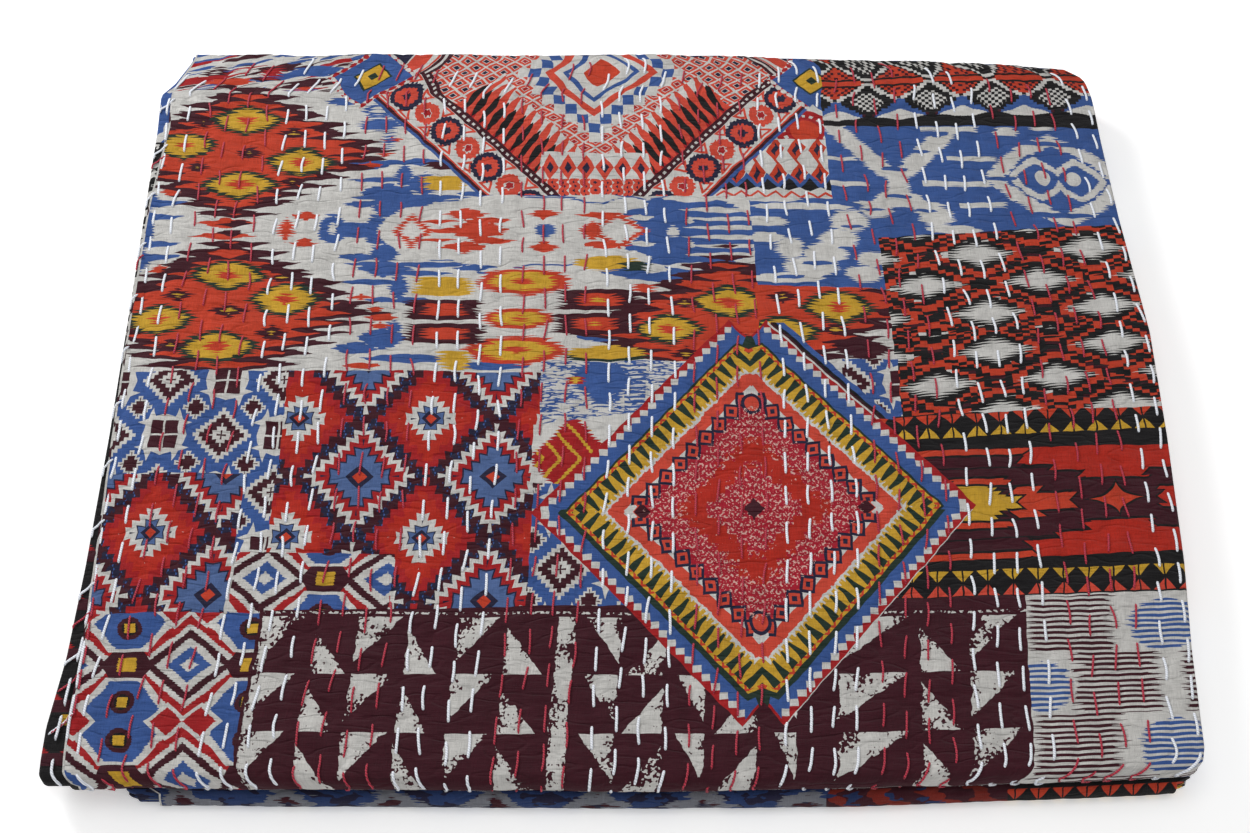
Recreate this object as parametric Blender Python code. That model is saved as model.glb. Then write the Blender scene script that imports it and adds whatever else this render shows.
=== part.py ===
"""A kantha quilt, folded and lying flat.

Units are metres. +X runs along the long side of the folded quilt, +Y from its front edge to its back
edge, and +Z is up. The origin lies on the surface under the middle of the stack.

The quilt is one thin sheet. It is folded back and forth across its length into a strip of four plies,
which is the section in the XZ plane. The strip is then folded back and forth along its own length,
which is the path in the YZ plane, so that sixteen plies lie on each other a little apart. The section
is swept along the path, and the finished stack is then settled into the uneven shape of real cloth.
"""

import math

import bmesh
import bpy
import numpy as np

# Driving dimensions
FLAT_LENGTH = 2.743
FLAT_WIDTH = 2.286
PLIES = 4
RUNS = 4
PLY = 0.0015
GAP = 0.00035

# Running stitch: the rows run from front to back, and each draws the cloth down a little. The turned
# hem stands up a little. Both fade out where the upper front fold turns under.
ROWS = 46
ROW_DEPTH = 0.0005
HEM_WIDTH = 0.0065
HEM_STEP = 0.0008
HEM_RISE = 0.0004
UNDER_RELIEF = 0.1

# Worked out from the driving dimensions
LONG_SIDE = FLAT_LENGTH / PLIES
SHORT_SIDE = FLAT_WIDTH / RUNS
HALF_LONG = LONG_SIDE / 2
HALF_SHORT = SHORT_SIDE / 2
PITCH = PLY + GAP
STRIP = PLIES * PITCH

# How far each turn of the strip and each of its two loose ends reaches past half the short side
TURN_REACH = {
    "top_end": 0.0045,
    "upper_front_fold": 0.0020,
    "back_fold": 0.0030,
    "lower_front_fold": 0.0068,
    "bottom_end": 0.0000,
}
FOLD_STEPS = 5
# Where the runs are sampled, as distances from the middle of the depth
RUN_PLACES = (-0.262, -0.205, -0.115, -0.015, 0.085, 0.175, 0.247, 0.262)

# Inside the strip: how far in from the side the second right fold and the under hem lie
SECOND_FOLD_IN = 0.0015
UNDER_HEM_IN = 0.0060
ARC_STEPS = 4
# Of the points along a ply's stitched face, the ones that its plain faces have too
SHARED_POINTS = (0, 2, 4, 6, 26, 48, 70, 2 * ROWS)

# The sides are not straight. Columns: depth (0 front, 1 back), left side in, hem in from it, right side in
SIDES = (
    (0.00, 0.0020, 0.0150, 0.0040),
    (0.06, 0.0015, 0.0135, 0.0025),
    (0.14, 0.0060, 0.0095, 0.0003),
    (0.25, 0.0075, 0.0060, -0.0050),
    (0.42, 0.0075, 0.0030, -0.0090),
    (0.57, 0.0060, 0.0020, -0.0105),
    (0.75, 0.0045, 0.0030, -0.0038),
    (0.88, 0.0035, 0.0085, -0.0010),
    (0.94, 0.0015, 0.0085, -0.0005),
    (0.96, 0.0100, 0.0040, 0.0000),
    (1.00, 0.0200, 0.0030, 0.0040),
)
# Nor are the front and the back. Columns: length (0 left, 1 right), front in, back in
ENDS = (
    (0.00, 0.0010, 0.0030),
    (0.25, 0.0003, 0.0014),
    (0.50, 0.0000, 0.0000),
    (0.70, 0.0020, 0.0022),
    (0.90, 0.0072, 0.0065),
    (1.00, 0.0105, 0.0120),
)
CORNER_RADIUS = {"front_left": 0.010, "front_right": 0.014, "back_right": 0.012}
CORNER_REACH = HALF_SHORT + 0.002

# The two lower runs start further in at the left, and the upper ones droop past them, less so at the back
LOWER_IN_FRONT = 0.046
LOWER_IN_BACK = 0.030
DROOP = 0.0035
DROOP_ENDS = 0.230
DROOP_FADES_OVER = 0.200

# The middle of the settled stack, which the origin lies under
MIDDLE_X = 0.0055956
MIDDLE_Y = -0.0010082

COLOUR = (0.36, 0.13, 0.12, 1.0)
ROUGHNESS = 0.92


def smooth(share):
    """0 to 1, easing at both ends."""
    share = min(1.0, max(0.0, share))
    return share * share * (3 - 2 * share)


def read(table, column, at):
    """A column of a table at a place in its first column."""
    return float(np.interp(at, [row[0] for row in table], [row[column] for row in table]))


def depth_share(y):
    return (y + HALF_SHORT) / SHORT_SIDE


def corner(y, front, back):
    """How far a rounded corner brings a side in, for the radii at its front and its back."""
    radius = front if y < 0 else back
    into = min(max(radius - (CORNER_REACH - abs(y)), 0.0), radius)
    return radius - math.sqrt(radius * radius - into * into)


def left_in(y):
    return read(SIDES, 1, depth_share(y)) + corner(y, CORNER_RADIUS["front_left"], 0)


def right_in(y):
    rounding = corner(y, CORNER_RADIUS["front_right"], CORNER_RADIUS["back_right"])
    return read(SIDES, 3, depth_share(y)) + rounding


def lower_in(y):
    return LOWER_IN_FRONT + (LOWER_IN_BACK - LOWER_IN_FRONT) * depth_share(y)


def settle(x, y, z, set_in):
    """A point of the true stack, moved to where it lies in the uneven one."""
    share = (x + HALF_LONG) / LONG_SIDE
    new_x = x + (left_in(y) + set_in) * (1 - share) - right_in(y) * share
    inward = read(ENDS, 1, share) if y < 0 else -read(ENDS, 2, share)
    new_y = y + inward * abs(y) / HALF_SHORT
    lower_edge = -HALF_LONG + left_in(y) + lower_in(y)
    overhang = smooth((lower_edge - new_x) / lower_in(y))
    droop = DROOP * overhang * smooth((DROOP_ENDS - y) / DROOP_FADES_OVER)
    return new_x - MIDDLE_X, new_y - MIDDLE_Y, z - droop


def stations():
    """The strip's path: (y, z, the direction of its stitched face, set-in at the left, relief)."""
    path = []
    level = [STRIP * (RUNS - run - 0.5) - GAP / 2 for run in range(RUNS)]
    radius = STRIP / 2
    outside = radius - GAP / 2

    def run(number, places, set_in, relief):
        face = 1 if number % 2 == 0 else -1
        for y in places:
            path.append((y, level[number], 0.0, face, set_in(y), relief))

    def turn(number, side, reach, set_ins, reliefs):
        """A half turn below a run, at the front (side -1) or the back (side 1)."""
        middle = side * (HALF_SHORT + reach - radius - outside)
        height = (level[number] + level[number + 1]) / 2
        for step in range(FOLD_STEPS + 1):
            share = step / FOLD_STEPS
            angle = math.pi * share
            out_y = side * math.sin(angle)
            out_z = math.cos(angle)
            y = middle + radius * out_y
            z = height + radius * out_z
            face = 1 if number % 2 == 0 else -1
            set_in = set_ins[0](y) * (1 - share) + set_ins[1](y) * share
            relief = reliefs[0] * (1 - share) + reliefs[1] * share
            path.append((y, z, face * out_y, face * out_z, set_in, relief))

    def none(_):
        return 0.0

    back_to_front = RUN_PLACES[::-1]
    path.append((HALF_SHORT + TURN_REACH["top_end"], level[0], 0.0, 1, 0.0, 0.0))
    run(0, back_to_front, none, 1.0)
    turn(0, -1, TURN_REACH["upper_front_fold"], (none, none), (1.0, UNDER_RELIEF))
    run(1, RUN_PLACES, none, 0.0)
    turn(1, 1, TURN_REACH["back_fold"], (none, lower_in), (0.0, 0.0))
    run(2, back_to_front, lower_in, 0.0)
    turn(2, -1, TURN_REACH["lower_front_fold"], (lower_in, lower_in), (0.0, 0.0))
    run(3, RUN_PLACES, lower_in, 0.0)
    bottom_end = HALF_SHORT + TURN_REACH["bottom_end"]
    path.append((bottom_end, level[3], 0.0, -1, lower_in(bottom_end), 0.0))
    return path


def ply_level(ply):
    return PITCH * ((PLIES - 1) / 2 - ply)


def arc(x, level, radius, side, steps, downwards):
    """Points of a half circle that closes a fold, without its two ends."""
    turns = [math.pi * step / steps for step in range(1, steps)]
    points = [(x + side * radius * math.sin(turn), level + radius * math.cos(turn), "arc") for turn in turns]
    return points if downwards else points[::-1]


def stitched_places(hem_end, right):
    return [hem_end + (right - hem_end) * step / (2 * ROWS) for step in range(2 * ROWS + 1)]


def section(y, relief):
    """The two sides of the strip's outline, each from the hem of the top ply to that of the last one.

    A point is (x, height in the strip, kind). The kind is "shared" where every face of every ply has a
    point at that x, "stitched" where only the stitched face has one, and "arc" inside a fold.
    """
    hem = -HALF_LONG + read(SIDES, 2, depth_share(y))
    outer = PITCH / 2 + PLY / 2
    inner = GAP / 2
    first_right = HALF_LONG - outer
    second_right = first_right - SECOND_FOLD_IN
    left = -HALF_LONG + outer
    places = stitched_places(hem + HEM_WIDTH + HEM_STEP, first_right)
    shared = [places[i] for i in SHARED_POINTS]
    inward = shared[:-1]

    top = ply_level(0) + PLY / 2
    hem_top = top + HEM_RISE * relief
    stitched = [(hem, hem_top, "shared"), (hem + HEM_WIDTH, hem_top, "stitched")]
    for i, x in enumerate(places):
        down = ROW_DEPTH * relief if i % 2 else 0.0
        stitched.append((x, top - down, "shared" if i in SHARED_POINTS else "stitched"))

    def plain(ply, side, start, end):
        level = ply_level(ply) + side * PLY / 2
        return [(x, level, "shared") for x in [start, *inward, end]]

    def between(ply):
        return (ply_level(ply) + ply_level(ply + 1)) / 2

    under_hem = -HALF_LONG + UNDER_HEM_IN
    face = [
        *stitched,
        *arc(first_right, between(0), outer, 1, ARC_STEPS, True),
        *plain(1, -1, left, first_right)[::-1],
        *arc(left, between(1), inner, -1, 2, True),
        *plain(2, 1, left, second_right),
        *arc(second_right, between(2), outer, 1, ARC_STEPS, True),
        *plain(3, -1, under_hem, second_right)[::-1],
    ]
    reverse = [
        *plain(0, -1, hem, first_right),
        *arc(first_right, between(0), inner, 1, 2, True),
        *plain(1, 1, left, first_right)[::-1],
        *arc(left, between(1), outer, -1, ARC_STEPS, True),
        *plain(2, -1, left, second_right),
        *arc(second_right, between(2), inner, 1, 2, True),
        *plain(3, 1, under_hem, second_right)[::-1],
    ]
    return face, reverse


def ring_of(bm, station):
    """The section's points at one place of the path, as rows of vertices between shared points."""
    y, z, face_y, face_z, set_in, relief = station
    sides = []
    for side in section(y, relief):
        spans = []
        for x, height, kind in side:
            if kind == "stitched" and relief == 0:
                continue
            place = settle(x, y + height * face_y, z + height * face_z, set_in)
            vert = bm.verts.new(place)
            if spans:
                spans[-1].append(vert)
            if kind == "shared":
                spans.append([vert])
        sides.append(spans[:-1])
    return sides


def join_rows(bm, first, second):
    """Faces between two rows of vertices: quads where they match, and one face where one is sparser."""
    if len(first) == len(second):
        for a, b, c, d in zip(first, first[1:], second[1:], second):
            bm.faces.new((a, b, c, d))
    else:
        bm.faces.new(first + second[::-1])


def sweep(bm):
    """Sweeps the section along the path and closes it at the hems and at the strip's two ends."""
    rings = [ring_of(bm, station) for station in stations()]
    for (face, reverse), (next_face, next_reverse) in zip(rings, rings[1:]):
        for first, second in zip(face + reverse, next_face + next_reverse):
            join_rows(bm, first, second)
        join_rows(bm, [face[0][0], reverse[0][0]], [next_face[0][0], next_reverse[0][0]])
        join_rows(bm, [face[-1][-1], reverse[-1][-1]], [next_face[-1][-1], next_reverse[-1][-1]])
    for face, reverse in (rings[0], rings[-1]):
        for first, second in zip(face, reverse):
            join_rows(bm, first, second)
    bmesh.ops.recalc_face_normals(bm, faces=bm.faces)
    bmesh.ops.triangulate(bm, faces=bm.faces, quad_method="SHORT_EDGE", ngon_method="BEAUTY")


def quilted_cotton():
    material = bpy.data.materials.new("printed_cotton")
    material.use_nodes = True
    shader = material.node_tree.nodes["Principled BSDF"]
    shader.inputs["Base Color"].default_value = COLOUR
    shader.inputs["Roughness"].default_value = ROUGHNESS
    shader.inputs["Metallic"].default_value = 0.0
    return material


def make_quilt(collection):
    bm = bmesh.new()
    sweep(bm)
    mesh = bpy.data.meshes.new("kantha_quilt")
    bm.to_mesh(mesh)
    bm.free()
    mesh.materials.append(quilted_cotton())
    mesh.shade_smooth()
    mesh.set_sharp_from_angle(angle=math.radians(40))
    quilt = bpy.data.objects.new("kantha_quilt", mesh)
    collection.objects.link(quilt)
    return quilt


def main():
    for old in list(bpy.data.objects):
        bpy.data.objects.remove(old, do_unlink=True)
    collection = bpy.data.collections.new("folded_kantha_quilt")
    bpy.context.scene.collection.children.link(collection)
    make_quilt(collection)


main()
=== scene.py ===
# %% [markdown]
# # A kantha quilt, folded and lying flat
#
# A kantha is made of a few layers of thin old cotton, laid on each other and held by rows of running
# stitch in thick thread. This one has a patchwork print on its face. It is folded into a flat stack.
#
# The lesson builds it in the order in which it could be made: the folds of the cloth, the print on it,
# and the thread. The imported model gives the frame, and everything here is in its metres.

# %% The frame
import math

import bpy
import numpy as np
from mathutils import Matrix, Vector


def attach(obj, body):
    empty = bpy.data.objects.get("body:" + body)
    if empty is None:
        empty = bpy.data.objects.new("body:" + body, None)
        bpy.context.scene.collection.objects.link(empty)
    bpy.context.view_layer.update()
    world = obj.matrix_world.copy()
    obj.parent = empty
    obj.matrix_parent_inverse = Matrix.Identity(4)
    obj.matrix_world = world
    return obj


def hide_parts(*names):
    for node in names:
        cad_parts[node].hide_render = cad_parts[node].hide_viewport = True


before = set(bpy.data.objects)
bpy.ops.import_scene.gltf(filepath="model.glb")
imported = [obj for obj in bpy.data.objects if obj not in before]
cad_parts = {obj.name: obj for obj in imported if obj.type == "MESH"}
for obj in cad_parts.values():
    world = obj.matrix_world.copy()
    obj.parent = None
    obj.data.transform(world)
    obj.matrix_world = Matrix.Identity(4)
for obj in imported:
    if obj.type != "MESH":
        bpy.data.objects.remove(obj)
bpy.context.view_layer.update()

# %% [markdown]
# ## The sizes
#
# The flat quilt is 2.743 by 2.286 m. It is folded in four along its length, which makes a strip, and the
# strip is folded in four along its own length. So the stack has sixteen plies. These are the sizes that
# the solid was made from, and the dressed quilt keeps them, so that it lies in the same folds.

# %% Sizes of the folded cloth, in metres
FLAT_LENGTH = 2.743
FLAT_WIDTH = 2.286
PLIES = 4
RUNS = 4
PLY = 0.0015
GAP = 0.00035
LONG_SIDE = FLAT_LENGTH / PLIES
SHORT_SIDE = FLAT_WIDTH / RUNS
HALF_LONG = LONG_SIDE / 2
HALF_SHORT = SHORT_SIDE / 2
PITCH = PLY + GAP
STRIP = PLIES * PITCH
MM = 1000

TURN_REACH = {"top_end": 0.0045, "upper_front": 0.0020, "back": 0.0030, "lower_front": 0.0068}
TOP_RUN_ENDS = 0.272
RUN_ENDS = 0.262
SECOND_FOLD_IN = 0.0015
UNDER_HEM_IN = 0.0060
HEM_LINE = 0.0013
HEM_PRINT = -100
HEM_WIDTH = 0.0065
HEM_STEP = 0.0008
HEM_RISE = 0.0004
HEM_SEAM = 0.00005
HEM_RELIEF = 0.5
LOWER_RELIEF = 0.4

# Columns: depth (0 front, 1 back), left side in, hem in from it, right side in
SIDES = (
    (0.00, 0.0020, 0.0150, 0.0040),
    (0.06, 0.0015, 0.0135, 0.0025),
    (0.14, 0.0060, 0.0095, 0.0003),
    (0.25, 0.0075, 0.0060, -0.0050),
    (0.42, 0.0075, 0.0030, -0.0090),
    (0.57, 0.0060, 0.0020, -0.0105),
    (0.75, 0.0045, 0.0030, -0.0038),
    (0.88, 0.0035, 0.0085, -0.0010),
    (0.94, 0.0015, 0.0085, -0.0005),
    (0.96, 0.0100, 0.0040, 0.0000),
    (1.00, 0.0200, 0.0030, 0.0040),
)
# Columns: length (0 left, 1 right), front in, back in
ENDS = (
    (0.00, 0.0010, 0.0030),
    (0.25, 0.0003, 0.0014),
    (0.50, 0.0000, 0.0000),
    (0.70, 0.0020, 0.0022),
    (0.90, 0.0072, 0.0065),
    (1.00, 0.0105, 0.0120),
)
CORNER_RADIUS = {"front_left": 0.010, "front_right": 0.014, "back_right": 0.012}
CORNER_REACH = HALF_SHORT + 0.002
LOWER_IN_FRONT = 0.046
LOWER_IN_BACK = 0.030
DROOP = 0.0035
DROOP_ENDS = 0.230
DROOP_FADES_OVER = 0.200
MIDDLE_X = 0.0055956
MIDDLE_Y = -0.0010082
print("folded size", round(LONG_SIDE, 4), "by", round(SHORT_SIDE, 4), "m,", PLIES * RUNS, "plies")

# %% [markdown]
# ## How the stack settles
#
# A stack folded by hand isn't a box: its sides bow, its corners round off, and the upper plies hang a
# little over the lower ones. A cloth simulation of sixteen plies that touch is slow and never the same
# twice when a size changes. So the true stack is worked out first, and one function then moves each of
# its points to where it lies in the uneven one, by the tables above.

# %% Settling a point
def smooth(share):
    """0 to 1, easing at both ends."""
    share = np.clip(share, 0, 1)
    return share * share * (3 - 2 * share)


def read(table, column, at):
    """A column of a table at places in its first column."""
    return np.interp(at, [row[0] for row in table], [row[column] for row in table])


def depth_share(y):
    return (y + HALF_SHORT) / SHORT_SIDE


def corner(y, front, back):
    """How far a rounded corner brings a side in, for the radii at its front and its back."""
    radius = np.where(y < 0, front, back)
    into = np.clip(radius - (CORNER_REACH - abs(y)), 0, radius)
    return radius - np.sqrt(radius * radius - into * into)


def settle(x, y, z, set_in):
    """Points of the true stack, moved to where they lie in the uneven one."""
    depth = depth_share(y)
    left_in = read(SIDES, 1, depth) + corner(y, CORNER_RADIUS["front_left"], 0)
    right_in = read(SIDES, 3, depth) + corner(y, CORNER_RADIUS["front_right"], CORNER_RADIUS["back_right"])
    lower_in = LOWER_IN_FRONT + (LOWER_IN_BACK - LOWER_IN_FRONT) * depth
    share = (x + HALF_LONG) / LONG_SIDE
    new_x = x + (left_in + set_in) * (1 - share) - right_in * share
    inward = np.where(y < 0, read(ENDS, 1, share), -read(ENDS, 2, share))
    new_y = y + inward * abs(y) / HALF_SHORT
    overhang = smooth((left_in + lower_in - HALF_LONG - new_x) / lower_in)
    droop = DROOP * overhang * smooth((DROOP_ENDS - y) / DROOP_FADES_OVER)
    return np.stack([new_x - MIDDLE_X, new_y - MIDDLE_Y, z - droop], -1)


# %% [markdown]
# ## The path of the strip
#
# Seen from the side, the strip runs from the back to the front, turns under, runs back, and so on. Each
# stop on this path knows where it is, which way the stitched face looks, and where on the print it is.
# The print's places are in millimetres, because that suits motifs of a few millimetres.

# %% The path
RUN_STOPS = (150, 22, 22, 22)
TURN_STOPS = 14
LOWER_PRINT = -392
BACK_PRINT = 262


def path():
    """Rows of y, z, face y, face z, share of the set-in, relief, place on the print, and leg number."""
    level = [STRIP * (RUNS - run - 0.5) - GAP / 2 for run in range(RUNS)]
    radius = STRIP / 2
    outside = radius - GAP / 2
    stops = []

    def run(number, start, end, set_in, relief):
        face = 1 if number % 2 == 0 else -1
        for y in np.linspace(start, end, RUN_STOPS[number]):
            stops.append((y, level[number], 0, face, set_in, relief, y * MM, 2 * number))

    def turn(number, side, reach, set_ins, reliefs, print_start):
        face = 1 if number % 2 == 0 else -1
        middle = side * (HALF_SHORT + reach - radius - outside)
        height = (level[number] + level[number + 1]) / 2
        for share in np.linspace(0, 1, TURN_STOPS):
            angle = math.pi * share
            out_y = side * math.sin(angle)
            out_z = math.cos(angle)
            set_in = set_ins[0] * (1 - share) + set_ins[1] * share
            relief = reliefs[0] * (1 - share) + reliefs[1] * share
            printed = print_start(middle) + side * angle * (radius + outside) * MM
            stop = (middle + radius * out_y, height + radius * out_z, face * out_y, face * out_z)
            stops.append((*stop, set_in, relief, printed, 2 * number + 1))

    run(0, HALF_SHORT + TURN_REACH["top_end"], -TOP_RUN_ENDS, 0, 1)
    turn(0, -1, TURN_REACH["upper_front"], (0, 0), (1, 0.1), lambda middle: middle * MM)
    run(1, -RUN_ENDS, RUN_ENDS, 0, 0)
    turn(1, 1, TURN_REACH["back"], (0, 1), (0, 0), lambda middle: BACK_PRINT)
    run(2, RUN_ENDS, -RUN_ENDS, 1, 0)
    turn(2, -1, TURN_REACH["lower_front"], (1, 1), (0.6, 0), lambda middle: LOWER_PRINT)
    run(3, -RUN_ENDS, HALF_SHORT, 1, 0)
    return np.array(stops, float)


PATH = path()
print("stops on the path", len(PATH))

# %% [markdown]
# ## The stitched rows
#
# Each row of running stitch draws the cloth down, and each stitch gathers it a little along the row. That
# gives a kantha its soft ripples. The rows run from front to back, about 14 mm apart. They could be
# cloth-simulated, but a sum of a few soft waves has the same look, can be placed by hand, and costs
# nothing. Each row keeps its own shift, so no two ripples line up.

# %% Rows and ripples
ROWS = 48
FIRST_ROW = -0.335
ROW_PITCH = 0.01434
STITCH_PITCH = 0.0262
ROW_DEPTH = 0.0009
ROW_HALF_WIDTH = 0.0026
RIPPLE = 0.00075
RELIEF_RISE = 0.0004
LOWEST = -0.0011
SOFTNESS = 4000
CREASE = 0.02
RIPPLE_MIDDLE = 1.15
# How a row wanders. Columns: metres, turns of the sine over a metre, times the row's own shift
WANDERS = ((0.0007, 21, 1), (0.0004, 55, 2))
# Soft swells of the whole stack. Columns: height, waves over a metre along x and y, shift
SWELLS = (
    (0.00045, 5.1, 3.3, 0.4),
    (0.00040, -3.7, 6.9, 2.1),
    (0.00030, 9.7, 5.3, 4.4),
    (0.00022, -14.0, 11.0, 1.2),
)
rng = np.random.default_rng(7)
row_shift = rng.uniform(0, 1, ROWS + 1)
row_wander = rng.uniform(0, 2 * math.pi, ROWS + 1)


def row_place(row, s):
    """Where a row lies across the cloth at s along it: nearly straight, as stitched by hand."""
    row = np.asarray(row)
    wander = sum(size * np.sin(s * waves + times * row_wander[row]) for size, waves, times in WANDERS)
    return FIRST_ROW + ROW_PITCH * row + wander


def ripple_of(row, s):
    """Rounded puffs with narrow creases between them, from -1 to 1."""
    wave = np.sin(math.pi * (s / STITCH_PITCH + row_shift[row])) ** 2
    return 2 * np.sqrt(wave + CREASE) - RIPPLE_MIDDLE


def relief(x, s):
    """How far the face stands above or below the flat ply, in metres."""
    nearest = np.clip(np.round((x - FIRST_ROW) / ROW_PITCH), 0, ROWS - 1).astype(int)
    off = x - row_place(nearest, s)
    trough = np.exp(-((off / ROW_HALF_WIDTH) ** 2))
    side = np.where(off < 0, np.clip(nearest - 1, 0, ROWS), nearest + 1)
    share = smooth(abs(off) / ROW_PITCH)
    ripple = ripple_of(nearest, s) * (1 - share) + ripple_of(side, s) * share
    swell = sum(h * np.sin(2 * math.pi * (a * x + b * s) + c) for h, a, b, c in SWELLS)
    height = RELIEF_RISE + swell + RIPPLE * ripple - ROW_DEPTH * trough
    return LOWEST + np.logaddexp(0, (height - LOWEST) * SOFTNESS) / SOFTNESS


# %% [markdown]
# ## The section of the strip
#
# Cut across, the strip is one thin line that goes back and forth four times. It is written here as one
# closed row of points: out along the printed face, and home along the reverse. Every point says how much
# of the ripples it takes, where it is on the print, and which side of the cloth it is on.

# %% The section
TOP_STEPS = 5 * (ROWS - 1)
PLAIN_STEPS = 8
OUTER_STEPS = 7
INNER_STEPS = 3
FACE, REVERSE = 0, 1


def section(hem):
    """Rows of x, height, relief, print place, side, and the share of the strip's length, for a hem at x."""
    outer = PITCH / 2 + PLY / 2
    inner = GAP / 2
    first_right = HALF_LONG - outer
    second_right = first_right - SECOND_FOLD_IN
    left = -HALF_LONG + outer
    under_hem = -HALF_LONG + UNDER_HEM_IN
    level = [PITCH * ((PLIES - 1) / 2 - ply) for ply in range(PLIES)]
    half = PLY / 2
    points = []

    def flat(x0, x1, height, steps, side, at, waves=0, print_shift=0):
        for share in np.linspace(0, 1, steps + 1):
            x = x0 + (x1 - x0) * share
            points.append((x, height, waves, x * MM + print_shift, side, at[0] + (at[1] - at[0]) * share))

    def fold(x, height, radius, way, turn, steps, side, at):
        for step in range(1, steps):
            angle = math.pi * step / steps
            place = x + way * radius * math.sin(angle)
            printed = x * MM + way * radius * MM * (angle if angle < math.pi / 2 else math.pi - angle)
            share = at[0] + (at[1] - at[0]) * step / steps
            points.append((place, height + turn * radius * math.cos(angle), 0, printed, side, share))

    top = level[0] + half
    flat(hem, hem + HEM_LINE, top + HEM_RISE, 1, FACE, (0, 0.004), HEM_RELIEF, HEM_PRINT)
    inner_edge = hem + HEM_LINE + HEM_SEAM
    flat(inner_edge, hem + HEM_WIDTH, top + HEM_RISE, 2, FACE, (0.0045, 0.02), HEM_RELIEF)
    flat(hem + HEM_WIDTH + HEM_STEP, first_right, top, TOP_STEPS, FACE, (0.03, 1), 1)
    fold(first_right, (level[0] + level[1]) / 2, outer, 1, 1, OUTER_STEPS, FACE, (1, 2))
    flat(first_right, left, level[1] - half, PLAIN_STEPS, FACE, (2, 3))
    fold(left, (level[1] + level[2]) / 2, inner, -1, 1, INNER_STEPS, FACE, (3, 4))
    flat(left, second_right, level[2] + half, PLAIN_STEPS, FACE, (4, 5))
    fold(second_right, (level[2] + level[3]) / 2, outer, 1, 1, OUTER_STEPS, FACE, (5, 6))
    flat(second_right, under_hem, level[3] - half, PLAIN_STEPS, FACE, (6, 7))
    flat(under_hem, second_right, level[3] + half, PLAIN_STEPS, REVERSE, (7, 6))
    fold(second_right, (level[2] + level[3]) / 2, inner, 1, -1, INNER_STEPS, REVERSE, (6, 5))
    flat(second_right, left, level[2] - half, PLAIN_STEPS, REVERSE, (5, 4))
    fold(left, (level[1] + level[2]) / 2, outer, -1, -1, OUTER_STEPS, REVERSE, (4, 3))
    flat(left, first_right, level[1] + half, PLAIN_STEPS, REVERSE, (3, 2))
    fold(first_right, (level[0] + level[1]) / 2, inner, 1, -1, INNER_STEPS, REVERSE, (2, 1))
    flat(first_right, hem, level[0] - half, PLAIN_STEPS, REVERSE, (1, 0), LOWER_RELIEF)
    return np.array(points, float)


def hem_at(y):
    return -HALF_LONG + read(SIDES, 2, depth_share(y))


SECTIONS = np.array([section(float(hem_at(stop[0]))) for stop in PATH])
print("points round the section", SECTIONS.shape[1])

# %% [markdown]
# ## The cloth as one mesh
#
# The section is carried along the path, as a loft. Blender's own curve bevel can't do this, because the
# section changes along the way. The two ends of the strip are closed by zipping the printed face to the
# reverse. The mesh gets two maps: "cloth" has the place on the print in millimetres, and "OFBake" is a
# flat layout of the same surface that gives what shows most of the room.

# %% Points of the quilt
def points_of_quilt():
    x, height, waves, _, _, _ = np.moveaxis(SECTIONS, 2, 0)
    y, z, face_y, face_z, set_in, taken = PATH[:, :6].T[:, :, None]
    printed = PATH[:, 6][:, None] / MM
    height = height + relief(x, printed) * waves * taken
    lower_in = LOWER_IN_FRONT + (LOWER_IN_BACK - LOWER_IN_FRONT) * depth_share(y)
    return settle(x, y + height * face_y, np.maximum(z + height * face_z, 0), set_in * lower_in)


def corners(row, further):
    """The four corners of every quad between two rows, or between all rows and those after them."""
    return np.stack([row, further, np.roll(further, -1, 1), np.roll(row, -1, 1)], -1)


def zipped(first, second, first_share, second_share):
    """Triangles between two rows of points, which go the same way and may differ in number."""
    faces = []
    i = j = 0
    while i < len(first) - 1 or j < len(second) - 1:
        ahead = first_share[i + 1] if i < len(first) - 1 else np.inf
        behind = second_share[j + 1] if j < len(second) - 1 else np.inf
        if ahead <= behind:
            faces.append((first[i], first[i + 1], second[j]))
            i += 1
        else:
            faces.append((first[i], second[j + 1], second[j]))
            j += 1
    return faces


places = points_of_quilt()
stops, around = places.shape[:2]
number = np.arange(stops * around).reshape(stops, around)
quads = corners(number[:-1], number[1:])
share_row = SECTIONS[0, :, 5]
turned = int(np.argmax(SECTIONS[0, :, 4] == REVERSE))
caps = []
for ring, flip in ((0, False), (stops - 1, True)):
    face_row = number[ring, :turned]
    reverse_row = number[ring, turned:][::-1]
    cap = zipped(face_row, reverse_row, share_row[:turned], share_row[turned:][::-1])
    caps += [face[::-1] if flip else face for face in cap]
print("points", places.shape, "quads", quads.shape[0] * quads.shape[1], "cap faces", len(caps))

# %% Where each quad is on the print
printed_u = SECTIONS[:, :, 3]
u_quads = corners(printed_u[:-1], printed_u[1:])
by_print = (PATH[:-1, 7] == PATH[1:, 7]) | (PATH[:-1, 7] == 0)
v_start = np.where(by_print, PATH[:-1, 6], PATH[:-1, 0] * MM)
v_end = np.where(by_print, PATH[1:, 6], PATH[1:, 0] * MM)
v_quads = np.stack([v_start, v_end, v_end, v_start], -1)[:, None, :] + np.zeros_like(u_quads)
print("print map from", u_quads.min().round(), v_quads.min().round(), end=" ")
print("to", u_quads.max().round(), v_quads.max().round())

# %% [markdown]
# ## Recipes for colour
#
# A material's node tree is easier to read as sums than as boxes and wires. A `Value` wraps one output of a
# node, and Python's operators on it add Math nodes. A `Recipe` owns the tree and makes every other node.

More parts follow.
